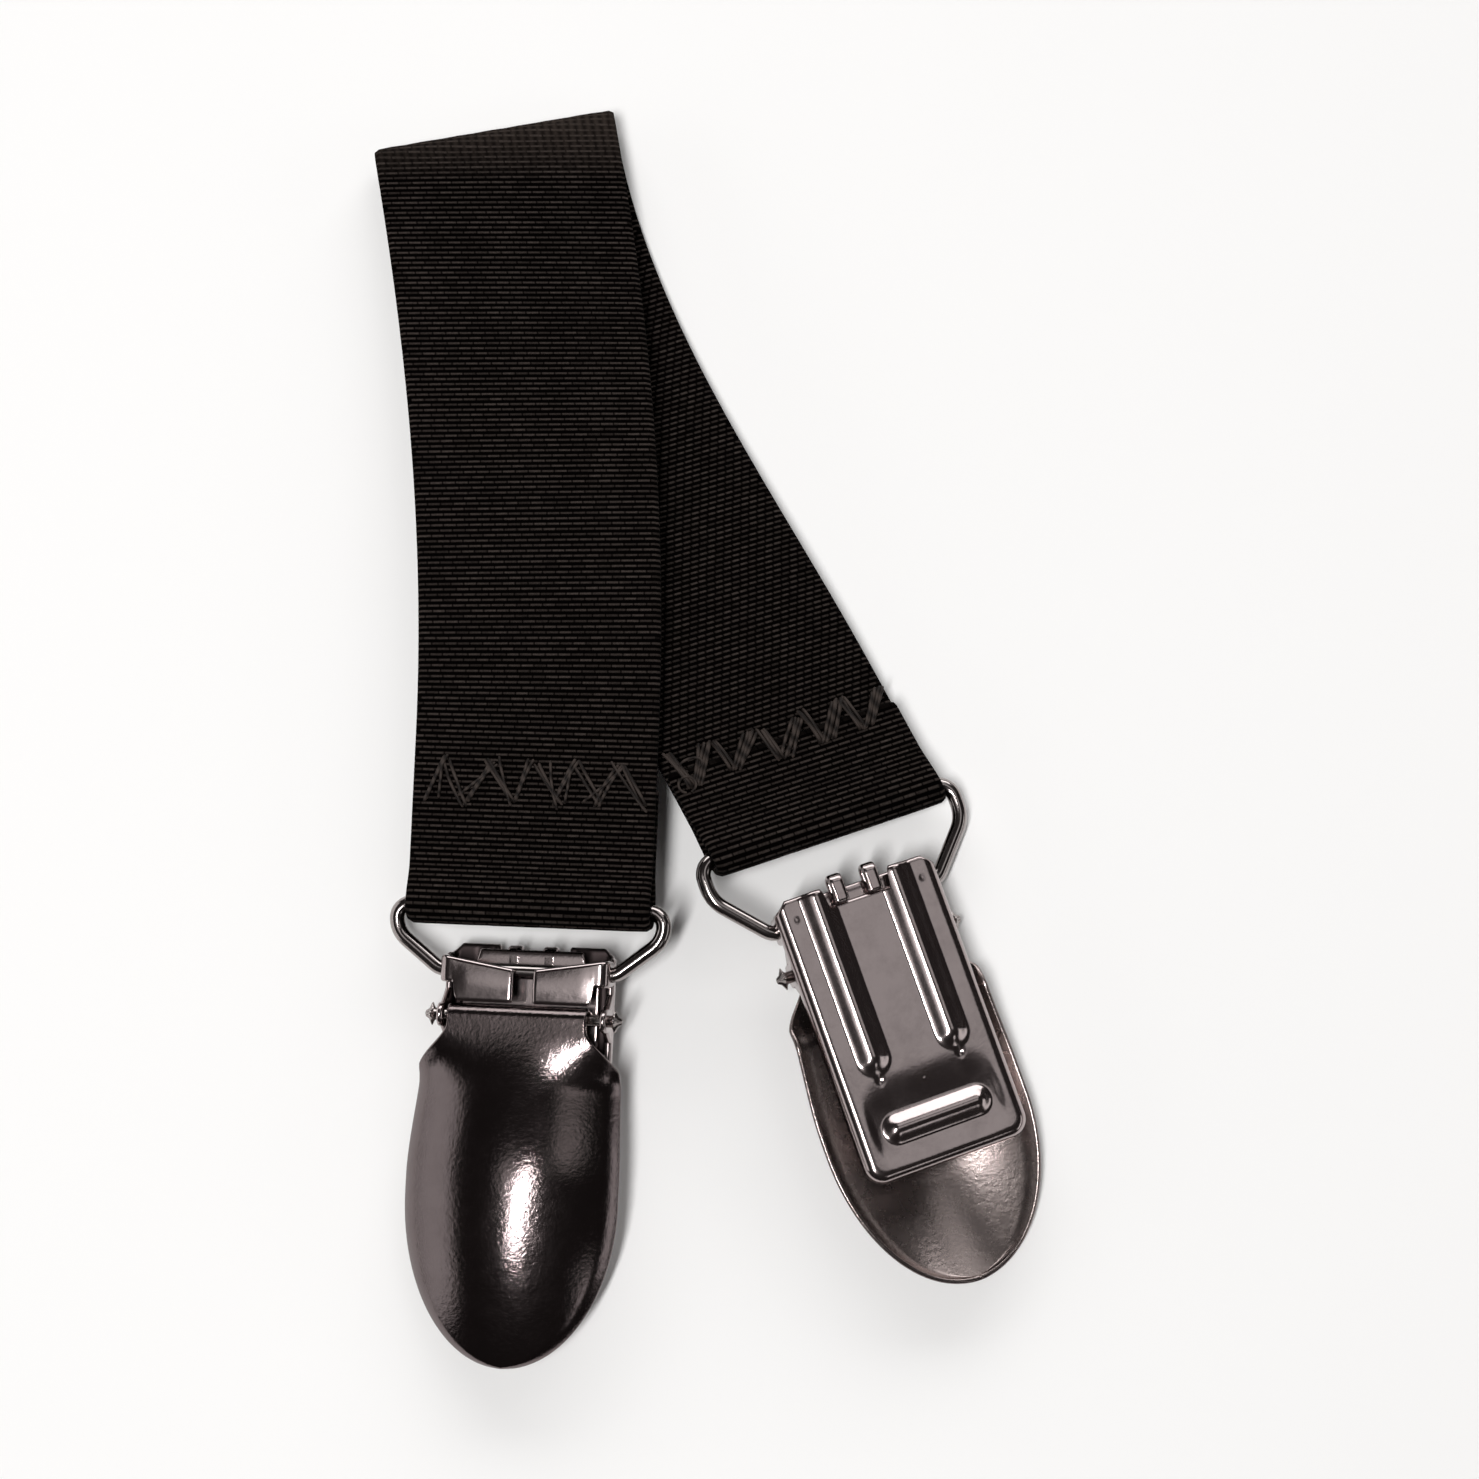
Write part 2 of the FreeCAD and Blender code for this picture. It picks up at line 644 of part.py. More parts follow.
def build_stitching(side, place):
    """Zigzag of thread across a hem's raw edge, once on each face of the strap."""
    radius = size("stitch_radius")
    half = size("strap_width") / 2 - size("stitch_inset")
    thick = size("strap_thick")
    lean = math.tan(math.radians(size(side + "_shear")))
    run_y = size(side + "_bail_height") - size("run_down")
    raw_edge = size(side + "_hem") - size("hem_round")
    turns = int(size("stitch_turns"))
    threads = []
    for level in (thick + radius + size("clear_gap"), -thick - radius - size("clear_gap")):
        points = []
        for i in range(2 * turns + 1):
            up = raw_edge + size("stitch_height") * ((i % 2) - size("stitch_below"))
            x = half * (i / turns - 1) + lean * up
            points.append(Vector(x, run_y + up, size("run_depth") + level))
        bars = [Part.makeSphere(radius, points[0])]
        for a, b in zip(points, points[1:]):
            bars.append(Part.makeCylinder(radius, (b - a).Length, a, b - a))
            bars.append(Part.makeSphere(radius, b))
        threads.append(bars[0].fuse(bars[1:]))
    made = doc.addObject("Part::Feature", side + "_hem_stitching")
    made.Shape = Part.makeCompound(threads)
    made.Placement = place
    return made


# ---------------------------------------------------------------- assembly

parts = {"elastic_strap": build_strap()}
for clip in ("left", "right"):
    tag = clip + "_"
    where = clip_placement(clip)
    play = -size("cover_play") if clip == "left" else size("cover_play")
    parts[tag + "hem_stitching"] = build_stitching(clip, where)
    for node, piece in (("wire_bail", build_bail(clip)), ("clip_housing", build_housing(tag)),
                        ("pivot_pin", build_pin(tag)), ("cover_lever", build_cover(tag, play)),
                        ("jaw_plate", build_jaw(tag))):
        piece.Placement = where
        parts[tag + node] = piece
doc.recompute()

# Move everything so that the row's origin is the bottom centre of the whole part.
box = FreeCAD.BoundBox()
for piece in parts.values():
    box.add(piece.Shape.optimalBoundingBox(False))
shift = Placement(Vector(-box.Center.x, -box.Center.y, -box.ZMin), Rotation())
for label, piece in parts.items():
    piece.Placement = shift * piece.Placement
    piece.Label = label
doc.recompute()

for thing in doc.Objects:
    if "Invalid" in thing.State or "Error" in thing.State:
        raise RuntimeError("%s failed: %s" % (thing.Name, thing.State))
for label, piece in parts.items():
    if piece.Shape.isNull() or not piece.Shape.isValid():
        raise RuntimeError(label + " has no valid shape")
    piece.Shape.exportStep("parts/%s.step" % label)
    low = piece.Shape.BoundBox
    print("%-22s volume %9.3f  solids %d  z %.2f to %.2f" % (label, piece.Shape.Volume,
                                                           len(piece.Shape.Solids), low.ZMin, low.ZMax))

for clip in ("left", "right"):
    where = shift * clip_placement(clip)
    for name, y, z in (("bail", size(clip + "_bail_height") - size("run_down"), size("run_depth")),
                       ("clip", -size("run_down"), size("run_depth")),
                       ("cover", -size("pin_down"), size("pin_depth")),
                       ("jaw", -size("notch_depth"), 0.0)):
        at = where.multVec(Vector(0, y, z))
        axis = where.Rotation.multVec(Vector(1, 0, 0))
        print("axis %s_%s %.6f %.6f %.6f %.6f %.6f %.6f" % (clip, name, *at, *axis))
    mouth = where.multVec(Vector(0, -size("jaw_length"), size("jaw_lift")))
    outward = where.Rotation.multVec(Vector(0, -1, 0))
    print("axis %s_grip %.6f %.6f %.6f %.6f %.6f %.6f" % (clip, *mouth, *outward))
print("size %.2f %.2f %.2f" % (box.XLength, box.YLength, box.ZLength))
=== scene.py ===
"""Looks of a folded clip strap: black elastic webbing with a plated lever clip on each end.

Lengths in the shape functions are millimetres.  Each clip is worked out in its own frame, which the
packed joints give: x across the clip, y towards the strap (0 at the back plate's top edge) and z
from the rear face of the back plate (0) towards the cover.  `place` turns such points into the row
frame, and `add_piece` writes them in metres.
"""
import json
import math

import bpy
import numpy as np
from mathutils import Matrix, Vector


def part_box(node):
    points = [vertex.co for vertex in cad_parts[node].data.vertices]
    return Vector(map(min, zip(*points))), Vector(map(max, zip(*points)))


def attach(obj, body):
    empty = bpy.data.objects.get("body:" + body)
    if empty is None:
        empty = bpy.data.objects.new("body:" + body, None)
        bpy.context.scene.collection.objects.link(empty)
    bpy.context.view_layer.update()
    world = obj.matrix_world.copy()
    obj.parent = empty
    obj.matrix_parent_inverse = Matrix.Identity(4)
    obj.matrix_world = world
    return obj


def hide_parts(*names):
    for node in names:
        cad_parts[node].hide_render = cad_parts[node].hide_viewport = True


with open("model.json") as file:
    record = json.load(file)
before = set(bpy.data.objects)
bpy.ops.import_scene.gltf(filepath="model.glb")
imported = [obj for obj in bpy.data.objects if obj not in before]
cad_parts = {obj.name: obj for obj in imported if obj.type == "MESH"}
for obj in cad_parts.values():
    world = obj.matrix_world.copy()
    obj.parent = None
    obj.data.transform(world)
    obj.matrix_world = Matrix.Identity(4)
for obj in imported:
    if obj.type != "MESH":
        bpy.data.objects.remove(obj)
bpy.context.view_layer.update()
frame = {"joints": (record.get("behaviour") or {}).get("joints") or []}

MM = 0.001

# ---------------------------------------------------------------- sizes, in millimetres

STRAP_WIDTH = 25.4
STRAP_THICK = 1.2
HEM_SQUEEZE = 0.3           # each edge of a hem, pinched in by the bail
HEM_LENGTH = {"left": 12.27, "right": 9.47}     # from the bail's upper run to the raw edge
HEM_LEAN = {"left": 0.0, "right": math.tan(math.radians(9.0))}
HEM_STRAIGHT = 4.6          # the leg stays flat this far above the raw edge
FOLD_ANGLE = math.radians(10.0)
FOLD_RADIUS = 1.7           # of the cloth's middle layer
RIB_PITCH = 0.56
RIB_HEIGHT = 0.055
WARP_COLUMNS = 15
CLOTH_HALF = STRAP_WIDTH / 2 - STRAP_THICK / 2 + 0.1    # of the flat part between the rounded edges

RUN_DOWN, RUN_DEPTH = 2.6, 2.9      # the bail's lower run in the clip frame
BAIL_HALF = 13.6
BAIL_FOOT = 8.975
BAIL_KNEE_SHARE = 0.56      # height of the knee over the bail's whole height
BAIL_ROUND_TOP = {"left": 1.5, "right": 1.75}
BAIL_ROUND_KNEE = {"left": 2.8, "right": 3.6}
WIRE_RADIUS = 0.75
WIRE_PLAY = 0.08            # between a wire or pin and the sheet bent round it

PLATE_HALF = 8.6
PLATE_LENGTH = 29.3
PLATE_CORNER = 2.0
PLATE_SHEET = 0.7
BEAD_AT, BEAD_TOP, BEAD_END = 4.2, 0.6, 17.4
CROSS_BEAD_DOWN, CROSS_BEAD_HALF = 24.6, 4.2
NOTCH_HALF, NOTCH_DEPTH = 3.5, 1.9
HOOK_AT = 1.8
HOOK_TOP = {"left": -0.35, "right": 0.7}
FLANGE_BEND = 1.1
FLANGE_TOP = 2.0
BOX_TOP = 4.6
PIN_DOWN, PIN_DEPTH = 7.1, 3.6
PIN_RADIUS = 0.6
COVER_LENGTH = 41.3
COVER_SHEET = 0.5
CROWN_AT = 24.0
TIP_LENGTH = 16.0
NECK_HALF = 7.1
COVER_HALF = 10.8
COVER_PLAY = {"left": -0.5, "right": 0.5}
JAW_HALF = 7.2
JAW_BOTTOM = 27.9

# ---------------------------------------------------------------- arrays and meshes


def smooth(t):
    """0 below 0, 1 above 1, and 3t^2 - 2t^3 between."""
    t = np.clip(t, 0.0, 1.0)
    return t * t * (3 - 2 * t)


def unit(vectors):
    """Each vector over its own length."""
    return vectors / np.maximum(np.linalg.norm(vectors, axis=-1, keepdims=True), 1e-12)


def stack(*coordinates):
    """Arrays of x, y and z, spread to one shape and set side by side."""
    return np.stack(np.broadcast_arrays(*coordinates), axis=-1).astype(float)


def grid_faces(rows, columns, ring_columns=False, ring_rows=False):
    """Corner numbers of the four-sided faces between neighbours on a rows by columns grid."""
    row = np.arange(rows if ring_rows else rows - 1)[:, None]
    column = np.arange(columns if ring_columns else columns - 1)[None, :]
    below, beside = (row + 1) % rows, (column + 1) % columns
    corners = (row * columns + column, row * columns + beside,
               below * columns + beside, below * columns + column)
    return np.stack(corners, axis=-1).reshape(-1, 4)


def weld(points, faces, values):
    """Points that fall together within 0.2 micrometre become one; a face that lost a corner has three."""
    key = np.round(points * 5000).astype(np.int64)
    _, first, number = np.unique(key, axis=0, return_index=True, return_inverse=True)
    faces = number.ravel()[faces]
    gone = faces == np.roll(faces, -1, axis=1)
    count = gone.sum(axis=1)
    crossed = (faces[:, 0] == faces[:, 2]) | (faces[:, 1] == faces[:, 3])
    four = faces[(count == 0) & ~crossed]
    three = faces[count == 1][~gone[count == 1]].reshape(-1, 3)
    three = three[(three[:, 0] != three[:, 2])]
    return points[first], four, three, None if values is None else values[first]


def volume(points, triangles):
    """Signed volume: a sixth of the sum of each triangle's triple product."""
    a, b, c = (points[triangles[:, i]] for i in range(3))
    return np.einsum("ij,ij->i", a, np.cross(b, c)).sum() / 6


def add_piece(name, shells, body, material, nodes):
    """One object from closed shells, each (points, faces[, cloth values]) in the row frame in mm."""
    all_points, all_four, all_three, all_values, start = [], [], [], [], 0
    for shell in shells:
        points, four, three, values = weld(shell[0], shell[1], shell[2] if len(shell) > 2 else None)
        triangles = np.concatenate([four[:, [0, 1, 2]], four[:, [0, 2, 3]], three])
        if volume(points - points.mean(axis=0), triangles) < 0:
            four, three = four[:, ::-1], three[:, ::-1]
        all_points.append(points)
        all_four.append(four + start)
        all_three.append(three + start)
        all_values.append(np.zeros((len(points), 3)) if values is None else values)
        start += len(points)
    points = np.concatenate(all_points)
    four, three = np.concatenate(all_four), np.concatenate(all_three)
    mesh = bpy.data.meshes.new(name)
    mesh.vertices.add(len(points))
    mesh.vertices.foreach_set("co", (points * MM).astype(np.float32).ravel())
    corners = np.concatenate([four.ravel(), three.ravel()])
    totals = np.concatenate([np.full(len(four), 4), np.full(len(three), 3)])
    mesh.loops.add(len(corners))
    mesh.loops.foreach_set("vertex_index", corners.astype(np.int32))
    mesh.polygons.add(len(totals))
    mesh.polygons.foreach_set("loop_start", np.concatenate([[0], np.cumsum(totals)[:-1]]).astype(np.int32))
    mesh.polygons.foreach_set("loop_total", totals.astype(np.int32))
    mesh.polygons.foreach_set("use_smooth", np.ones(len(totals), bool))
    cloth = mesh.attributes.new("cloth", "FLOAT_VECTOR", "POINT")
    cloth.data.foreach_set("vector", np.concatenate(all_values).astype(np.float32).ravel())
    mesh.update(calc_edges=True)
    mesh.validate()
    mesh.materials.append(material)
    piece = bpy.data.objects.new(name, mesh)
    bpy.context.scene.collection.objects.link(piece)
    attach(piece, body)
    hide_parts(*nodes)
    return piece


def sheet_shell(middle, thick, rim=4, outer=0.0, inner=0.0, values=None):
    """A closed sheet round a middle surface given as a rows by columns grid.

    The two faces stand off the middle by half the thickness, plus `outer` and `inner`, along the
    surface normal.  All four edges are rounded by half circles of the same thickness, and each end
    row closes on the middle surface.  `values` are (u, v) per grid point; the third is 0 on the
    outer face and 1 on the inner one.
    """
    down, across = np.gradient(middle, axis=0), np.gradient(middle, axis=1)
    normal = np.cross(across, down)
    flat = np.linalg.norm(normal, axis=-1) < 1e-9
    normal[flat] = normal[~flat].mean(axis=0)
    normal = unit(normal)
    turn = np.linspace(0, math.pi / 2, rim + 1)[1:]
    half = thick / 2
    rows = [0] * rim + list(range(len(middle))) + [-1] * rim
    swell = np.concatenate([np.cos(turn[::-1]), np.ones(len(middle)), np.cos(turn)])[:, None, None]
    push = np.concatenate([-np.sin(turn[::-1]), np.zeros(len(middle)), np.sin(turn)])[:, None, None]
    base = middle[rows] + unit(down)[rows] * push * half
    normal = normal[rows]
    lift = {}
    for side, extra in (("outer", outer), ("inner", inner)):
        lift[side] = (half + np.broadcast_to(extra, middle.shape[:2])[rows][..., None]) * swell
    face_a = base + normal * lift["outer"]
    face_b = base - normal * lift["inner"]
    bend = np.linspace(0, math.pi, 2 * rim)[1:-1][None, :, None]
    edge_r = unit(across[:, -1])[rows][:, None] * half * swell
    edge_l = -unit(across[:, 0])[rows][:, None] * half * swell
    rim_r = base[:, -1:] + np.cos(bend) * normal[:, -1:] * half * swell + np.sin(bend) * edge_r
    rim_l = base[:, :1] - np.cos(bend) * normal[:, :1] * half * swell + np.sin(bend) * edge_l
    ring = np.concatenate([face_a, rim_r, face_b[:, ::-1], rim_l], axis=1)
    points, faces = ring.reshape(-1, 3), grid_faces(*ring.shape[:2], ring_columns=True)
    if values is None:
        return points, faces
    u_v = values[rows]
    share = np.broadcast_to(bend / math.pi, (len(rows), bend.shape[1], 1))

    def marked(part, side):
        return np.concatenate([part, np.broadcast_to(side, part.shape[:2] + (1,))], axis=2)

    cloth = np.concatenate([marked(u_v, 0.0), marked(np.repeat(u_v[:, -1:], bend.shape[1], 1), share),
                            marked(u_v[:, ::-1], 1.0),
                            marked(np.repeat(u_v[:, :1], bend.shape[1], 1), 1 - share)], axis=1)
    return points, faces, cloth.reshape(-1, 3)


def tube(path, radius, up, sides=16, closed=False, caps=3):
    """A circle carried along a path; `up` is the one direction that no stretch of the path follows.

    Each ring lies in the plane of (tangent x up) and its normal.  An open tube ends in half balls.
    """
    if closed:
        along = unit(np.roll(path, -1, axis=0) - np.roll(path, 1, axis=0))
    else:
        along = unit(np.gradient(path, axis=0))
    radius = np.broadcast_to(radius, len(path)).astype(float)
    if not closed:
        turn = np.linspace(0, math.pi / 2, caps + 1)[1:]
        first, last = path[:1], path[-1:]
        path = np.concatenate([first - along[:1] * radius[0] * np.sin(turn[::-1])[:, None], path,
                               last + along[-1:] * radius[-1] * np.sin(turn)[:, None]])
        along = np.concatenate([np.repeat(along[:1], caps, 0), along, np.repeat(along[-1:], caps, 0)])
        radius = np.concatenate([radius[0] * np.cos(turn[::-1]), radius, radius[-1] * np.cos(turn)])
    side = unit(np.cross(along, np.broadcast_to(up, along.shape)))
    front = np.cross(side, along)
    angle = np.linspace(0, 2 * math.pi, sides, endpoint=False)[None, :, None]
    ring = path[:, None] + radius[:, None, None] * (side[:, None] * np.cos(angle)
                                                   + front[:, None] * np.sin(angle))
    return ring.reshape(-1, 3), grid_faces(len(path), sides, ring_columns=True, ring_rows=closed)


def rounded_path(corners, radii, step=0.12, closed=True):
    """Points along straight runs whose corners are arcs: back = r tan(turn/2) before each corner."""
    corners = np.asarray(corners, float)
    count = len(corners)
    pieces = []
    for i, radius in enumerate(radii):
        if not closed and i in (0, count - 1):
            pieces.append(corners[i:i + 1])
            continue
        before, after = unit(corners[i - 1] - corners[i]), unit(corners[(i + 1) % count] - corners[i])
        half_angle = math.acos(np.clip(before @ after, -1, 1)) / 2
        back = radius / math.tan(half_angle)
        centre = corners[i] + unit(before + after) * radius / math.sin(half_angle)
        start, end = corners[i] + before * back - centre, corners[i] + after * back - centre
        sweep = math.pi - 2 * half_angle
        t = np.linspace(0, 1, max(4, int(radius * sweep / step)))[:, None]
        pieces.append(centre + (start * np.sin((1 - t) * sweep) + end * np.sin(t * sweep)) / math.sin(sweep))
    return np.concatenate(pieces)


def even(path, step, closed=False):
    """The same line through points a step apart, measured along it."""
    if closed:
        path = np.concatenate([path, path[:1]])
    run = np.concatenate([[0], np.cumsum(np.linalg.norm(np.diff(path, axis=0), axis=1))])
    at = np.linspace(0, run[-1], max(3, int(round(run[-1] / step)) + 1))
    path = np.stack([np.interp(at, run, path[:, i]) for i in range(path.shape[1])], axis=1)
    return path[:-1] if closed else path


# ---------------------------------------------------------------- frames of the two clips

JOINTS = {joint["name"]: joint for joint in frame["joints"]}


def clip_axes(side):
    """Origin and axes of a clip: x is the bail's hinge line, y points from its lower to its upper run."""
    hinge, swing = JOINTS[side + "_bail_hinge"], JOINTS[side + "_clip_swing"]
    x = unit(np.array(hinge["axis"], float))
    top, run = np.array(hinge["pos_m"], float) / MM, np.array(swing["pos_m"], float) / MM
    y = unit(top - run)
    z = np.cross(x, y)
    return run + RUN_DOWN * y - RUN_DEPTH * z, np.array([x, y, z]), np.linalg.norm(top - run)


AXES = {side: clip_axes(side) for side in ("left", "right")}


def place(side, points):
    """Points of a clip's frame in the row frame."""
    origin, axes, _ = AXES[side]
    return origin + np.asarray(points, float) @ axes


def placed(side, shells):
    """Closed shells of a clip's frame in the row frame."""
    return [(place(side, shell[0]),) + tuple(shell[1:]) for shell in shells]


# ---------------------------------------------------------------- elastic strap

HEM_TURN = WIRE_RADIUS + WIRE_PLAY + STRAP_THICK / 2    # radius of the cloth's middle round the wire


def hem_bulge(up):
    """How far each layer's middle stands from the wire's level, at a height above the wire."""
    return STRAP_THICK / 2 + (HEM_TURN - STRAP_THICK / 2) * (1 - smooth(up / 4.2))


def hem_edges(side, up, level):
    """The strap's two edges in the row frame, at heights above the bail's upper run."""
    half = CLOTH_HALF - HEM_SQUEEZE
    sign = 1 if side == "left" else -1
    run_y = AXES[side][2] - RUN_DOWN
    return [place(side, stack(HEM_LEAN[side] * up + sign * end * half, run_y + up, RUN_DEPTH + level))
            for end in (-1, 1)]


def hem_path(side):
    """From the raw edge down the folded-over layer, round the wire and up the leg's flat start."""
    down = np.arange(HEM_LENGTH[side] - STRAP_THICK / 2, 0, -0.25)
    turn = np.linspace(0, math.pi, 25)
    rise = np.arange(0.25, HEM_LENGTH[side] + HEM_STRAIGHT, 0.25)
    up = np.concatenate([down, -HEM_TURN * np.sin(turn), rise])
    level = np.concatenate([-hem_bulge(down), -HEM_TURN * np.cos(turn), hem_bulge(rise)])
    return hem_edges(side, up, level)


def fold_frame():
    """Centre of the fold and its directions, from the strap's own box."""
    low, high = (np.array(corner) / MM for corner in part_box("elastic_strap"))
    sin, cos = math.sin(FOLD_ANGLE), math.cos(FOLD_ANGLE)
    outer = FOLD_RADIUS + STRAP_THICK / 2
    centre = np.array([low[0] + STRAP_WIDTH / 2 * cos + outer * sin,
                       high[1] - STRAP_WIDTH / 2 * sin - outer * cos, outer])
    return centre, np.array([cos, sin, 0.0]), np.array([-sin, cos, 0.0])


def leg_edges(side):
    """Each edge of a leg is a cubic curve that leaves the hem along it and meets the fold square on."""
    centre, across, beyond = fold_frame()
    up = HEM_LENGTH[side] + HEM_STRAIGHT
    starts = hem_edges(side, np.array([up]), np.array([STRAP_THICK / 2]))
    _, axes, _ = AXES[side]
    away = unit(axes[1] + HEM_LEAN[side] * axes[0])
    lift = FOLD_RADIUS if side == "left" else -FOLD_RADIUS
    edges = []
    t = np.linspace(0, 1, 70)[1:-1][:, None]
    for end, start in zip((-1, 1), starts):
        goal = centre + across * end * CLOTH_HALF + np.array([0, 0, lift])
        span = np.linalg.norm(goal - start[0])
        edges.append(start * (2 * t ** 3 - 3 * t ** 2 + 1) + away * span * (t ** 3 - 2 * t ** 2 + t)
                     + goal * (3 * t ** 2 - 2 * t ** 3) + beyond * span * (t ** 3 - t ** 2))
    return edges


def fold_edges():
    """A half circle of the cloth's middle layer, from the upper leg round to the lower one."""
    centre, across, beyond = fold_frame()
    turn = np.linspace(0, math.pi, 33)[:, None]
    arc = centre + FOLD_RADIUS * (np.array([0, 0, 1.0]) * np.cos(turn) + beyond * np.sin(turn))
    return [arc + across * end * CLOTH_HALF for end in (-1, 1)]


def strap_line():
    """The strap's two edges from raw edge to raw edge, the length run along its middle and the
    fold's place on it."""
    left, right = hem_path("left"), hem_path("right")
    leg_l, leg_r, fold = leg_edges("left"), leg_edges("right"), fold_edges()
    edges = [np.concatenate([left[i], leg_l[i], fold[i], leg_r[i][::-1], right[i][::-1]])
             for i in (0, 1)]
    middle = (edges[0] + edges[1]) / 2
    run = np.concatenate([[0], np.cumsum(np.linalg.norm(np.diff(middle, axis=0), axis=1))])
    fold_at = run[len(left[0]) + len(leg_l[0]) + len(fold[0]) // 2]
    return edges, run, fold_at


def cloth_slant(along, run, fold_at):
    """How much the ribs run askew of the fold: none at the hems and most at the oblique fold."""
    left = smooth((along - 32.0) / (fold_at - 32.0))
    right = smooth((run[-1] - 28.0 - along) / (run[-1] - 28.0 - fold_at))
    return math.tan(math.radians(9.3)) * np.where(along < fold_at, left, right)


def make_strap(edges, run, fold_at, material):
    """Webbing on a grid of (across u, along v): each weft rib is a cosine of v, whose phase and
    height wander a little from one warp column to the next."""
    total, half = run[-1], CLOTH_HALF
    row = np.arange(int(total / (RIB_PITCH / 4)) + 1)
    along = row * total / row[-1]
    column = np.arange(WARP_COLUMNS)
    pitch = 2 * half / WARP_COLUMNS
    across = np.sort(np.concatenate([-half + pitch * (column + 0.12), -half + pitch * (column + 0.88)]))
    across[0], across[-1] = -half, half
    u, v = np.broadcast_arrays(across[None, :], along[:, None])
    at = np.clip(v - u * cloth_slant(v, run, fold_at), 0, total)
    share = (u / (2 * half) + 0.5)[..., None]
    ends = [np.stack([np.interp(at, run, edge[:, i]) for i in range(3)], axis=-1) for edge in edges]
    middle = ends[0] * (1 - share) + ends[1] * share
    rng = np.random.default_rng(5)
    wander = np.repeat(rng.normal(0, 0.05, WARP_COLUMNS), 2)[None, :]
    tall = np.repeat(rng.uniform(0.8, 1.1, WARP_COLUMNS), 2)[None, :]
    beat = np.cos(2 * math.pi * (row[:, None] / 4 + wander))
    fade = smooth((half - np.abs(u)) / 0.9) * 0.65 + 0.35
    ribs = RIB_HEIGHT * beat * tall * fade
    values = np.stack([u, np.broadcast_to(row[:, None] * RIB_PITCH / 4, u.shape)], axis=-1)
    shell = sheet_shell(middle, STRAP_THICK - 2 * RIB_HEIGHT - 0.04, rim=2, outer=ribs, inner=ribs,
                        values=values)
    return add_piece("woven_strap", [shell], "strap", material, ["elastic_strap"])


# ---------------------------------------------------------------- hem stitching


def stroke(start, end, level, radius, strands, spread, rng):
    """Parallel strands from one needle hole to another.

    Each strand is a straight line that bows up by a half sine from inside the cloth and down again,
    with its ends scattered a little, so that the thread dives in at both holes.
    """
    shells = []
    t = np.linspace(0, 1, 11)
    for strand in range(strands):
        offset = (strand - (strands - 1) / 2) * spread
        a = np.array(start) + [offset, 0] + rng.normal(0, 0.11, 2)
        b = np.array(end) + [offset, 0] + rng.normal(0, 0.11, 2)
        line = a + (b - a) * t[:, None]
        sway = np.sin(math.pi * t) * rng.normal(0, 0.10)
        bow = np.sign(level) * ((radius + 0.16 + 0.05 * (strand % 2)) * np.sin(math.pi * t) ** 0.5 - 0.16)
        path = stack(line[:, 0] + sway, line[:, 1], level + bow)
        shells.append(tube(path, radius, (0, 0, 1), sides=8, caps=2))
    return shells


def zigzag(side, level, rng):
    """Machine zigzag: every stroke crosses the raw edge, and some are sewn twice and cross over."""
    half = STRAP_WIDTH / 2 - 1.5
    middle = HEM_LENGTH[side]
    turns = 5
    step = half / turns
    shells = []
    for i in range(2 * turns):
        lean = HEM_LEAN[side]
        low_high = [middle + (2.15 if (i + k) % 2 else -2.0) + rng.normal(0, 0.22) for k in (0, 1)]
        x = [-half + step * (i + k) + rng.normal(0, 0.28) for k in (0, 1)]
        a, b = ((x[k] + lean * low_high[k], low_high[k]) for k in (0, 1))
        shells += stroke(a, b, level, 0.17, 2, 0.36, rng)
        if i % 3 != 1:
            shift = rng.choice([-1, 1]) * step * 0.55
            shells += stroke((a[0] + shift, a[1] + 0.3), (b[0] - 0.2 * shift, b[1] - 0.5),
                             level + 0.12 * np.sign(level), 0.15, 1, 0.3, rng)
    return shells


def bundles(side, level, rng):
    """Hand-fed zigzag: fat slanted bundles of strands take turns with upright ones."""
    half = STRAP_WIDTH / 2 - 1.0
    middle = HEM_LENGTH[side] - 0.2
    lean = HEM_LEAN[side]
    shells = []
    repeats = 5
    pitch = 2 * half / repeats
    for i in range(repeats):
        left = -half + pitch * i + rng.normal(0, 0.15)
        low, high = middle - 1.7 + rng.normal(0, 0.2), middle + 1.6 + rng.normal(0, 0.2)
        slant = ((left + 0.3 + lean * high, high), (left + pitch * 0.66 + lean * low, low))
        upright = ((left + pitch * 0.80 + lean * low, low), (left + pitch * 0.92 + lean * high, high))
        shells += stroke(*slant, level, 0.19, 4 + i % 2, 0.36, rng)
        shells += stroke(*upright, level + 0.1 * np.sign(level), 0.18, 3, 0.3, rng)
    return shells


def loose_loop(level, centre, size):
    """A slack loop of thread: an ellipse opened at its foot, a radius above the cloth."""
    turn = np.linspace(0.15 * math.pi, 1.9 * math.pi, 30)
    path = stack(centre[0] + size[0] * np.sin(turn), centre[1] - size[1] * np.cos(turn) + size[1],
                 level + np.sign(level) * (0.2 + 0.2 * np.sin(turn / 2)))
    return tube(path, 0.14, (0, 0, 1), sides=8)


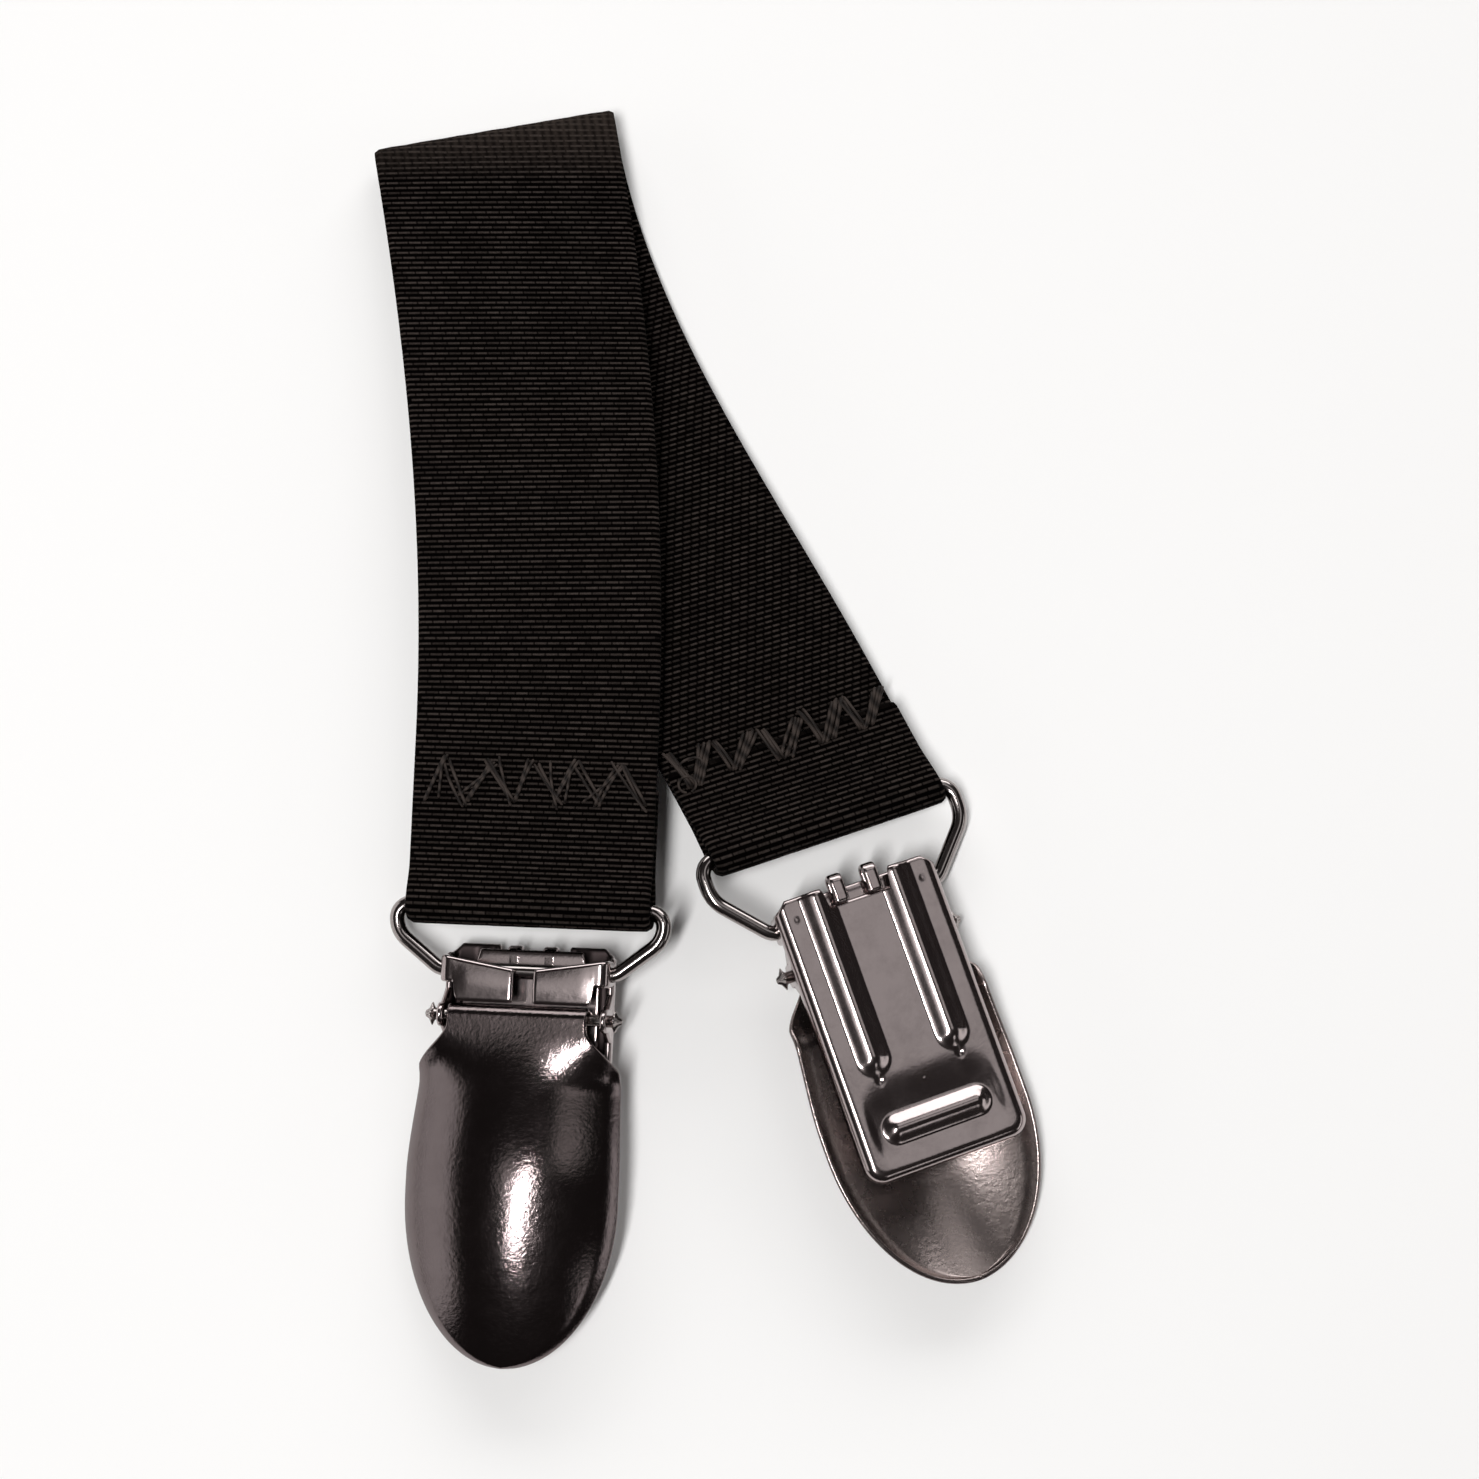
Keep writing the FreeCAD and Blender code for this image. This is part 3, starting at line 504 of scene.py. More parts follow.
def make_stitching(side, material):
    """Thread on both faces of a hem, a radius proud of the cloth."""
    rng = np.random.default_rng({"left": 11, "right": 23}[side])
    face = STRAP_THICK + 0.02
    shells = zigzag(side, face, rng)
    if side == "left":
        shells += zigzag(side, -face, rng)
    else:
        shells += bundles(side, -face, rng)
        half = STRAP_WIDTH / 2
        lean = HEM_LEAN[side] * HEM_LENGTH[side]
        shells.append(loose_loop(-face, (half - 1.9 + lean, HEM_LENGTH[side] - 2.6), (0.9, 0.8)))
        shells.append(loose_loop(-face, (half - 2.9 + lean, HEM_LENGTH[side] - 0.6), (1.2, 0.6)))
    lift = np.array([0, AXES[side][2] - RUN_DOWN, RUN_DEPTH])
    moved = [(shell[0] + lift,) + shell[1:] for shell in shells]
    return add_piece(side + "_stitch_thread", placed(side, moved), "strap", material,
                     [side + "_hem_stitching"])


# ---------------------------------------------------------------- bail and pin


def make_bail(side, material):
    """Round wire bent to a closed loop: six straight runs joined by arcs."""
    rise, out, foot, low = AXES[side][2], BAIL_HALF, BAIL_FOOT, -RUN_DOWN
    knee = low + BAIL_KNEE_SHARE * rise
    corners = [(foot, low), (out, knee), (out, low + rise), (-out, low + rise), (-out, knee), (-foot, low)]
    round_top, round_knee = BAIL_ROUND_TOP[side], BAIL_ROUND_KNEE[side]
    path = rounded_path(corners, (1.6, round_knee, round_top, round_top, round_knee, 1.6))
    path = even(path, 0.35, closed=True)
    shell = tube(stack(path[:, 0], path[:, 1], RUN_DEPTH), WIRE_RADIUS, (0, 0, 1), sides=24, closed=True)
    return add_piece(side + "_bail_wire", placed(side, [shell]), side + "_bail",
                     material, [side + "_wire_bail"])


def make_pin(side, material):
    """Pin turned about its axis, with peened collars and nipped ends.

    The radius is a function of the distance along it; near the tips it is also squeezed by a cosine
    of four times the angle, which leaves the four small points of a cropped wire end."""
    profile = np.array([(-10, 0.10), (-9.93, 0.24), (-9.6, 0.40), (-9.32, 0.86), (-9.22, 0.92), (-9.1, 0.74),
                        (-8.95, 0.6)])
    x = np.concatenate([profile[:, 0], [-4, 0, 4], -profile[::-1, 0]])
    radius = np.concatenate([profile[:, 1], [0.6, 0.6, 0.6], profile[::-1, 1]])
    sides = 32
    angle = np.linspace(0, 2 * math.pi, sides, endpoint=False)
    nip = 0.30 * smooth((np.abs(x) - 9.0) / 0.3)[:, None] * np.cos(4 * angle)[None, :]
    swell = radius[:, None] * (1 + nip)
    body = stack(x[:, None], -PIN_DOWN + swell * np.cos(angle), PIN_DEPTH + swell * np.sin(angle))
    ends = [np.broadcast_to([end, -PIN_DOWN, PIN_DEPTH], (1, sides, 3)) for end in (-10, 10)]
    ring = np.concatenate([ends[0], body, ends[1]])
    shell = (ring.reshape(-1, 3), grid_faces(*ring.shape[:2], ring_columns=True))
    return add_piece(side + "_pin", placed(side, [shell]), side + "_clip", material,
                     [side + "_pivot_pin"])


# ---------------------------------------------------------------- back plate, box and ears


def ridge(x, y, start, end, width, height):
    """A pressed bead: height times a smooth step of the distance to a straight line, 0 beyond width."""
    start, end = np.array(start, float), np.array(end, float)
    run = end - start
    share = np.clip(((x - start[0]) * run[0] + (y - start[1]) * run[1]) / (run @ run + 1e-12), 0, 1)
    far = np.hypot(x - start[0] - share * run[0], y - start[1] - share * run[1])
    return height * (1 - smooth(far / width))


def pressed_height(x, y):
    """How far the plate is pushed out behind: two long beads and one short one, less four small dents
    and a shallow dish round the short bead."""
    long_beads = [ridge(x, y, (at, -BEAD_END), (at, -BEAD_TOP), 1.85, 0.68) for at in (-BEAD_AT, BEAD_AT)]
    cross_bead = ridge(x, y, (-CROSS_BEAD_HALF, -CROSS_BEAD_DOWN), (CROSS_BEAD_HALF, -CROSS_BEAD_DOWN),
                       1.7, 0.76)
    out = np.maximum(np.maximum(*long_beads), cross_bead)
    for at_x, at_y, depth in ((-4.3, -19.6, 0.18), (4.3, -19.6, 0.18), (6.9, -2.2, 0.1), (-6.9, -2.2, 0.1)):
        out = out - ridge(x, y, (at_x, at_y), (at_x, at_y + 0.01), 0.6, depth)
    return out - ridge(x, y, (-3.6, -24.0), (3.6, -24.0), 5.0, 0.30)


def plate_top(x):
    """Lower limit of the plate's top edge: a square notch between the hooks and chamfered corners."""
    notch = NOTCH_DEPTH * (1 - smooth((np.abs(x) - NOTCH_HALF + 0.15) / 0.3))
    chamfer = np.maximum(np.abs(x) - (PLATE_HALF - 1.3), 0)
    return -PLATE_SHEET / 2 - notch - chamfer


def plate_shell():
    """Shallow tray with one open end.

    Rows follow the tray's outline down the left side, round the corner and to the middle of the
    bottom, and the mirrored row goes with each.  Columns run down the flange, round its bend and
    along a straight line to the tray's middle line, where the two halves meet.
    """
    corner = PLATE_CORNER
    side_y = -np.concatenate([np.linspace(0, 6, 34), np.linspace(6, PLATE_LENGTH - corner, 92)[1:]])
    angle = np.linspace(0, math.pi / 2, 13)[1:]
    floor_x = np.linspace(-(PLATE_HALF - corner), 0, 24)[1:]
    foot = np.concatenate([
        np.stack([np.full(len(side_y), -PLATE_HALF), side_y], 1),
        np.stack([-(PLATE_HALF - corner) - corner * np.cos(angle),
                  -(PLATE_LENGTH - corner) - corner * np.sin(angle)], 1),
        np.stack([floor_x, np.full(len(floor_x), -PLATE_LENGTH)], 1)])
    out = np.concatenate([np.tile([-1.0, 0.0], (len(side_y), 1)),
                          np.stack([-np.cos(angle), -np.sin(angle)], 1),
                          np.tile([0.0, -1.0], (len(floor_x), 1))])
    half_sheet = PLATE_SHEET / 2
    bend = FLANGE_BEND - half_sheet
    arc = np.linspace(0, math.pi / 2, 8)
    inset = np.concatenate([np.full(4, half_sheet), FLANGE_BEND - bend * np.cos(arc)])
    level = np.concatenate([np.linspace(FLANGE_TOP - half_sheet, FLANGE_BEND + 0.1, 4),
                            FLANGE_BEND - bend * np.sin(arc)])
    edge = foot[:, None] - out[:, None] * inset[None, :, None]
    spine = np.stack([np.zeros(len(foot)), np.clip(edge[:, -1, 1], PLATE_HALF - PLATE_LENGTH, 0)], 1)
    share = np.linspace(0, 1, 47)[1:][None, :, None]
    inner = edge[:, -1:] * (1 - share) + spine[:, None] * share
    plan = np.concatenate([edge, inner], axis=1)
    level = np.concatenate([level, np.full(46, half_sheet)])
    x, y = plan[..., 0], plan[..., 1]
    y = y + plate_top(x) * np.clip(1 + y / 6, 0, 1)
    flat = smooth((PLATE_HALF - 1.3 - np.abs(x)) / 1.0)
    z = level[None, :] - pressed_height(x, y) * flat
    left = stack(x, y, z)
    right = left[:, -2::-1] * [-1, 1, 1]
    middle = np.concatenate([left, right], axis=1)
    return sheet_shell(middle, PLATE_SHEET, rim=3, values=np.zeros(middle.shape[:2] + (2,)))


def wall_flap_shell(sign):
    """Side wall folded over to a flap: a strip along an L with a rounded corner, in the x-z plane.

    Its upper edge slopes down towards the slit, and its lower edge steps up at the relief cut."""
    half_sheet = PLATE_SHEET / 2
    out, top, bend = PLATE_HALF - half_sheet, BOX_TOP - half_sheet, 0.62
    line = rounded_path([(out, 1.2), (out, top), (1.3, top)], (0, bend, 0), step=0.08, closed=False)
    line = even(line, 0.2)
    x, z = line[:, 0], line[:, 1]
    wall = smooth((x - 6.75) / 0.35)
    upper = -1.1 - half_sheet - (PLATE_HALF - x) * math.tan(math.radians(9.0))
    lower = -5.75 + half_sheet + 1.85 * wall
    share = np.linspace(0, 1, 22)[None, :]
    y = upper[:, None] * (1 - share) + lower[:, None] * share
    crown = 0.10 * np.sin(math.pi * share) * smooth((7.6 - x) / 2.0)[:, None]
    middle = stack(sign * x[:, None], y, z[:, None] + crown)
    return sheet_shell(middle, PLATE_SHEET - 0.04, rim=3)


def ear_shell(sign):
    """Upright ear that holds the pin: straight lines from a base line up to a round-topped outline."""
    turn = np.linspace(math.radians(200), math.radians(-20), 34)
    radius = 1.5 - PLATE_SHEET / 2
    arc = np.stack([-PIN_DOWN + radius * np.cos(turn), PIN_DEPTH + radius * np.sin(turn)], 1)
    outline = even(np.concatenate([[(-9.6, 1.2)], arc, [(-4.0, 1.2)]]), 0.22)
    base_y = np.linspace(-9.6, -4.0, len(outline))
    share = np.linspace(0, 1, 12)[None, :, None]
    base = np.stack([base_y, np.full(len(outline), 0.95)], 1)
    plan = base[:, None] * (1 - share) + outline[:, None] * share
    middle = stack(sign * (PLATE_HALF - PLATE_SHEET / 2), plan[..., 0], plan[..., 1])
    return sheet_shell(middle, PLATE_SHEET - 0.04, rim=3)


def make_housing(side, material):
    """The pressing: plate, walls with their flaps, and ears."""
    shells = [plate_shell()]
    for sign in (-1, 1):
        shells += [wall_flap_shell(sign), ear_shell(sign)]
    return add_piece(side + "_pressed_housing", placed(side, shells), side + "_clip",
                     material, [side + "_clip_housing"])


# ---------------------------------------------------------------- jaw


def blade_shell():
    """Flat blade whose lower edge is a row of triangular teeth, and whose top closes the notch."""
    teeth, steps = 6, 14
    x = np.linspace(-JAW_HALF + 0.3, JAW_HALF - 0.3, teeth * steps + 1)
    tooth = np.abs((np.arange(teeth * steps + 1) / steps) % 1 - 0.5) * 2
    lower = -JAW_BOTTOM + 0.3 + 1.1 * (1 - tooth)
    share = np.linspace(0, 1, 40)[None, :]
    top = -0.75 - 1.5 * smooth((np.abs(x) - 5.2) / 0.5)
    y = top[:, None] * (1 - share) + lower[:, None] * share
    return sheet_shell(stack(x[:, None], y, 1.15), 0.6, rim=3)


def hook_shell(sign, top):
    """A strip bent over the notch: up in front, over the edge and down behind."""
    line = rounded_path([(-3.4, 1.15), (top, 1.15), (top, -0.35), (-1.75, -0.35)], (0, 0.62, 0.62, 0),
                        step=0.08, closed=False)
    line = even(line, 0.12)
    x = sign * HOOK_AT + np.linspace(-0.45, 0.45, 6)[None, :]
    return sheet_shell(stack(x, line[:, :1], line[:, 1:]), 0.6, rim=3)


def make_jaw(side, material):
    """Toothed blade with its two hooks; it hangs loosely, and the left one lies lower."""
    top = HOOK_TOP[side]
    shells = [blade_shell(), hook_shell(-1, top), hook_shell(1, top)]
    return add_piece(side + "_toothed_jaw", placed(side, shells), side + "_jaw",
                     material, [side + "_jaw_plate"])


# ---------------------------------------------------------------- cover lever


def cover_outline(down):
    """Half the cover's width: straight neck, 45-degree shoulders, slightly swelling sides, oval tip."""
    ramp = np.clip((down - 8.3) / 3.9, 0, 1)
    half = NECK_HALF + 3.15 * (0.55 * ramp + 0.45 * smooth(ramp))
    half = half + (COVER_HALF - NECK_HALF - 3.15) * smooth((down - 12.0) / 11.0)
    half = half - COVER_SHEET / 2
    past = (down - COVER_LENGTH + COVER_SHEET / 2 + TIP_LENGTH) / TIP_LENGTH
    return half * np.sqrt(1 - np.clip(past, 0, 0.99999) ** 2)


def cover_level(down):
    """Height of the cover's middle line: flat neck, rising crown, then a falling tip."""
    start = PIN_DEPTH + PIN_RADIUS + WIRE_PLAY + COVER_SHEET / 2
    rise = 2.9 * smooth((down - PIN_DOWN) / (CROWN_AT - PIN_DOWN))
    return start + rise - 3.0 * np.clip((down - CROWN_AT) / (COVER_LENGTH - CROWN_AT), 0, 1) ** 2


def cover_shell(side):
    """Domed sheet from the tip up to the neck, round the pin as a curl and down as a cam nose.

    Rows run along the lever and columns across it.  Height = middle line - 4 (x/10.8)^2 on the
    dome, and a last 0.35 mm roll at the rim.
    """
    half_sheet = COVER_SHEET / 2
    last = COVER_LENGTH - half_sheet
    t = np.linspace(0, 1, 150)
    down = PIN_DOWN + (last - PIN_DOWN) * np.sin(math.pi / 2 * (1 - t))
    across = np.sin(math.pi / 2 * np.linspace(-1, 1, 65))[None, :]
    half = cover_outline(down)
    x = half[:, None] * across
    dome = smooth((down - 8.3) / 6.2)[:, None]
    rim = np.clip(1 - (half[:, None] - np.abs(x)) / 1.3, 0, 1) ** 2
    level = cover_level(down)[:, None] - 4.0 * dome * (x / COVER_HALF) ** 2 - 0.35 * dome * rim
    lever = stack(x, -down[:, None], level)

    radius = PIN_RADIUS + WIRE_PLAY + half_sheet
    turn = np.linspace(math.pi / 2, -0.35, 22)[1:]
    curl = np.stack([-PIN_DOWN + radius * np.cos(turn), PIN_DEPTH + radius * np.sin(turn)], 1)
    nose = np.stack([np.linspace(curl[-1, 0] - 0.12, -PIN_DOWN + 0.45, 6),
                     np.linspace(curl[-1, 1] - 0.15, PIN_DEPTH - 1.7, 6)], 1)
    line = np.concatenate([curl, nose])
    neck = stack((NECK_HALF - half_sheet) * across, line[:, :1], line[:, 1:])
    middle = np.concatenate([lever, neck])
    middle[..., 0] += COVER_PLAY[side]
    return sheet_shell(middle, COVER_SHEET, rim=3, values=np.zeros(middle.shape[:2] + (2,)))


def make_cover(side, material):
    """The lever that closes the jaw."""
    return add_piece(side + "_domed_cover", placed(side, [cover_shell(side)]), side + "_cover",
                     material, [side + "_cover_lever"])


# ---------------------------------------------------------------- materials


def linear(colour):
    """A hex colour as linear red, green, blue and 1."""
    parts = [int(colour[i:i + 2], 16) / 255 for i in (1, 3, 5)]
    return [p / 12.92 if p <= 0.04045 else ((p + 0.055) / 1.055) ** 2.4 for p in parts] + [1.0]


def add_node(tree, kind, *inputs, out=None, **settings):
    """One node: its inputs in order, its settings by name, and the output that is asked for.

    An input is a value or a socket.  A setting is a property of the node, or an input out of order."""
    node = tree.nodes.new("ShaderNode" + kind)
    properties = [name for name in settings if name in node.bl_rna.properties]
    for name in properties:
        setattr(node, name, settings[name])
    filled = list(zip([socket for socket in node.inputs if socket.enabled], inputs))
    filled += [(node.inputs[name], value) for name, value in settings.items() if name not in properties]
    for socket, value in filled:
        if isinstance(value, bpy.types.NodeSocket):
            tree.links.new(socket, value)
        else:
            socket.default_value = value
    return node.outputs[out] if out else next(socket for socket in node.outputs if socket.enabled)


def new_material(name):
    """A material with only a surface shader and its output."""
    material = bpy.data.materials.new(name)
    material.use_nodes = True
    tree = material.node_tree
    tree.nodes.clear()
    shader = tree.nodes.new("ShaderNodeBsdfPrincipled")
    output = tree.nodes.new("ShaderNodeOutputMaterial")
    tree.links.new(output.inputs["Surface"], shader.outputs["BSDF"])
    return material, tree, shader


def dashes(tree, u, v, width, stagger, scatter, gap):
    """Weft dashes: painted light on each rib's top, painted shade between ribs, and cut at the warp.

    Row number r = v / pitch to the nearest whole, cell number c = u / width + stagger r + a random
    part of r; each cell has its own brightness, and its ends darken over the gap's share of it."""
    turns = add_node(tree, "Math", v, 1 / RIB_PITCH, operation="MULTIPLY")
    off_crest = add_node(tree, "Math", turns, 0.5, operation="PINGPONG")
    # painted light: full brightness on the rib tops, falling to painted shade in the dips between them
    crest_light = add_node(tree, "Math", off_crest, -6.0, 1.62, operation="MULTIPLY_ADD", use_clamp=True)
    row = add_node(tree, "Math", turns, operation="ROUND")
    by_row = add_node(tree, "TexWhiteNoise", row, noise_dimensions="1D")
    shift = add_node(tree, "Math", row, stagger, operation="MULTIPLY")
    shift = add_node(tree, "Math", by_row, scatter, shift, operation="MULTIPLY_ADD")
    along = add_node(tree, "Math", u, 1 / width, shift, operation="MULTIPLY_ADD")
    cell = add_node(tree, "Math", along, operation="FLOOR")
    from_end = add_node(tree, "Math", along, 0.5, operation="PINGPONG")
    inside = add_node(tree, "Math", from_end, gap, operation="DIVIDE", use_clamp=True)
    pair = add_node(tree, "CombineXYZ", cell, row)
    by_cell = add_node(tree, "TexWhiteNoise", pair, noise_dimensions="2D")
    bright = add_node(tree, "Math", by_cell, 0.55, 0.45, operation="MULTIPLY_ADD")
    lit = add_node(tree, "Math", crest_light, inside, operation="MULTIPLY")
    return add_node(tree, "Math", lit, bright, operation="MULTIPLY")


def woven_black_elastic(fold_at):
    """Polyester weft over covered rubber, piece-dyed black: matt brown-black dashes in black gaps, with no
    shine. The dashes' brightness on the rib tops is painted light and the black between ribs is painted
    shade, and where the fold stretches it the warp lines show with a faint warm painted sheen."""
    material, tree, shader = new_material("woven_black_elastic")
    cloth = add_node(tree, "Attribute", attribute_name="cloth", out="Vector")
    u, v, face = add_node(tree, "SeparateXYZ", cloth).node.outputs
    outer = dashes(tree, u, v, 1.35, 0.5, 0.45, 0.10)
    inner = dashes(tree, u, v, 0.92, 0.34, 0.12, 0.22)
    is_inner = add_node(tree, "Math", face, 0.5, operation="GREATER_THAN")
    # the weft strength is the weave's dash pattern times the painted light on the rib tops
    weft = add_node(tree, "Mix", is_inner, outer, inner)
    # slack and tight patches some 1 mm wide, and single fibres about 0.2 mm across
    stretched = add_node(tree, "Mapping", cloth, Scale=(0.9, 3.2, 1))
    patchy = add_node(tree, "TexNoise", stretched, Scale=1.1, Detail=4.0, Roughness=0.65)
    patchy = add_node(tree, "Math", patchy, 0.18, operation="ADD")
    fibres = add_node(tree, "TexNoise", cloth, Scale=5.0, Detail=2.0)
    fuzz = add_node(tree, "Math", fibres, 1.2, 0.25, operation="MULTIPLY_ADD")
    strength = add_node(tree, "Math", weft, patchy, operation="MULTIPLY", use_clamp=True)
    strength = add_node(tree, "Math", strength, fuzz, operation="MULTIPLY", use_clamp=True)
    # near-black is the painted shade between ribs, brown-grey the painted light on the rib tops, varied by
    # the cloth's own patchy tone
    colour = add_node(tree, "Mix", strength, linear("#030202"), linear("#4b433f"), data_type="RGBA")
    # lengthwise warp lines show through within 6.5 mm of the fold, where the ribs are drawn flat, lightened
    # by a painted warm sheen of the light that the fold catches
    near = add_node(tree, "Math", v, fold_at, operation="SUBTRACT")
    near = add_node(tree, "Math", near, operation="ABSOLUTE")
    near = add_node(tree, "Math", near, -1 / 6.5, 1.0, operation="MULTIPLY_ADD", use_clamp=True)
    warp = add_node(tree, "Math", u, 2 * math.pi / 0.87, operation="MULTIPLY")
    warp = add_node(tree, "Math", warp, operation="SINE")
    warp = add_node(tree, "Math", warp, 0.25, 0.50, operation="MULTIPLY_ADD")
    fold_warp_and_sheen = add_node(tree, "Math", near, warp, operation="MULTIPLY", use_clamp=True)
    colour = add_node(tree, "Mix", fold_warp_and_sheen, colour, linear("#37302c"), data_type="RGBA")
    tree.links.new(shader.inputs["Base Color"], colour)
    height = add_node(tree, "Math", fibres, 0.5, weft, operation="MULTIPLY_ADD")
    bump = add_node(tree, "Bump", Height=height, Strength=0.55, Distance=0.00012)
    tree.links.new(shader.inputs["Normal"], bump)
    shader.inputs["Roughness"].default_value = 0.82
    shader.inputs["Specular IOR Level"].default_value = 0.0
    shader.inputs["Sheen Weight"].default_value = 0.01
    shader.inputs["Sheen Roughness"].default_value = 0.45
    return material


def twisted_black_thread():
    """Spun polyester sewing thread: a shade lighter and less matt than the cloth, with painted light on the
    ridges of its twisted plies and painted shade in the grooves between them.
    """
    material, tree, shader = new_material("twisted_black_thread")
    place_at = add_node(tree, "TexCoord", out="Object")
    twist_relief_and_shade = add_node(tree, "TexWave", place_at, bands_direction="DIAGONAL", Scale=420.0, Distortion=1.5,
                     Detail=2.0, out="Fac")
    bump = add_node(tree, "Bump", Height=twist_relief_and_shade, Strength=0.5, Distance=0.00006)
    tree.links.new(shader.inputs["Normal"], bump)
    # painted light and shade on the twisted plies: ridges lighter, grooves darker, following the bump
    colour = add_node(tree, "Mix", twist_relief_and_shade, linear("#15100e"), linear("#3a322e"), data_type="RGBA")
    tree.links.new(shader.inputs["Base Color"], colour)
    shader.inputs["Roughness"].default_value = 0.6
    shader.inputs["Specular IOR Level"].default_value = 0.15
    return material


def plated_metal(name, colour, roughness, wear, dents, inside=None):
    """Bright plating over steel: a mirror with fine pits, faint rubbing marks and slow waves.

    `inside` is the colour and the roughness of a sheet's inner face, which is left unpolished; on the back
    plate that dark colour is painted shade of the box's inside."""
    material, tree, shader = new_material(name)
    place_at = add_node(tree, "TexCoord", out="Object")
    # waves left by the press are some 6 mm long, the pits of the plating about 0.4 mm across
    wave = add_node(tree, "TexNoise", place_at, Scale=160.0, Detail=1.0)
    pit = add_node(tree, "TexNoise", place_at, Scale=2200.0, Detail=3.0, Roughness=0.7)
    patch = add_node(tree, "TexNoise", place_at, Scale=420.0, Detail=5.0, Roughness=0.7)
    height = add_node(tree, "Math", pit, dents, wave, operation="MULTIPLY_ADD")
    bump = add_node(tree, "Bump", Height=height, Strength=0.35, Distance=0.00018)
    tree.links.new(shader.inputs["Normal"], bump)
    rubbed = add_node(tree, "Math", patch, 4.0, -1.8, operation="MULTIPLY_ADD", use_clamp=True)
    rough = add_node(tree, "Math", rubbed, wear, roughness, operation="MULTIPLY_ADD")
    shade = add_node(tree, "Mix", rubbed, linear(colour[0]), linear(colour[1]), data_type="RGBA")
    if inside:
        mark = add_node(tree, "Attribute", attribute_name="cloth", out="Vector")
        inner = add_node(tree, "SeparateXYZ", mark, out="Z")
        shade = add_node(tree, "Mix", inner, shade, linear(inside[0]), data_type="RGBA")
        rough = add_node(tree, "Math", inner, inside[1] - roughness, rough, operation="MULTIPLY_ADD")
    tree.links.new(shader.inputs["Roughness"], rough)
    tree.links.new(shader.inputs["Base Color"], shade)
    shader.inputs["Metallic"].default_value = 1.0
    return material


# ---------------------------------------------------------------- the object

strap_edges, strap_run, fold_middle = strap_line()
cloth = woven_black_elastic(fold_middle)
thread = twisted_black_thread()
# Black nickel in a bright bath on stamped sheet: a smoky mirror whose highlights stay white.
# the back plate's inner face is painted dark: painted shade inside the box, between the lip and the flaps
steel = plated_metal("black_nickel_on_pressed_steel", ("#a89c9b", "#a39796"), 0.14, 0.04, 0.10,
                     inside=("#352e2e", 0.45))
# The same plating, thicker, on the drawn cover: darker and pitted outside, cloudy grey within.
cover_steel = plated_metal("polished_black_nickel_on_deep_drawn_steel", ("#6f6565", "#6a6060"), 0.14, 0.04,
                           0.45, inside=("#9a8e8b", 0.26))
# Plain nickel on hard wire: the lightest metal here, with sharp lengthwise highlights.
wire = plated_metal("nickel_plated_wire", ("#a09896", "#9a9290"), 0.13, 0.04, 0.04)

strap = make_strap(strap_edges, strap_run, fold_middle, cloth)
stitching = [make_stitching(side, thread) for side in ("left", "right")]
for side in ("left", "right"):
    make_bail(side, wire)
    make_pin(side, wire)
    make_housing(side, steel)
    make_jaw(side, steel)
    make_cover(side, cover_steel)

# ---------------------------------------------------------------- floor, lights and camera


def floor_of_white_board():
    """Matt white board under the object."""
    material, tree, shader = new_material("matt_white_board")
    shader.inputs["Base Color"].default_value = linear("#f7f6f5")
    shader.inputs["Roughness"].default_value = 0.9
    shader.inputs["Specular IOR Level"].default_value = 0.1
    mesh = bpy.data.meshes.new("board")
    mesh.from_pydata([(-2, -2, 0), (2, -2, 0), (2, 2, 0), (-2, 2, 0)], [], [(0, 1, 2, 3)])
    mesh.materials.append(material)
    board = bpy.data.objects.new("board", mesh)
    bpy.context.scene.collection.objects.link(board)
    return board


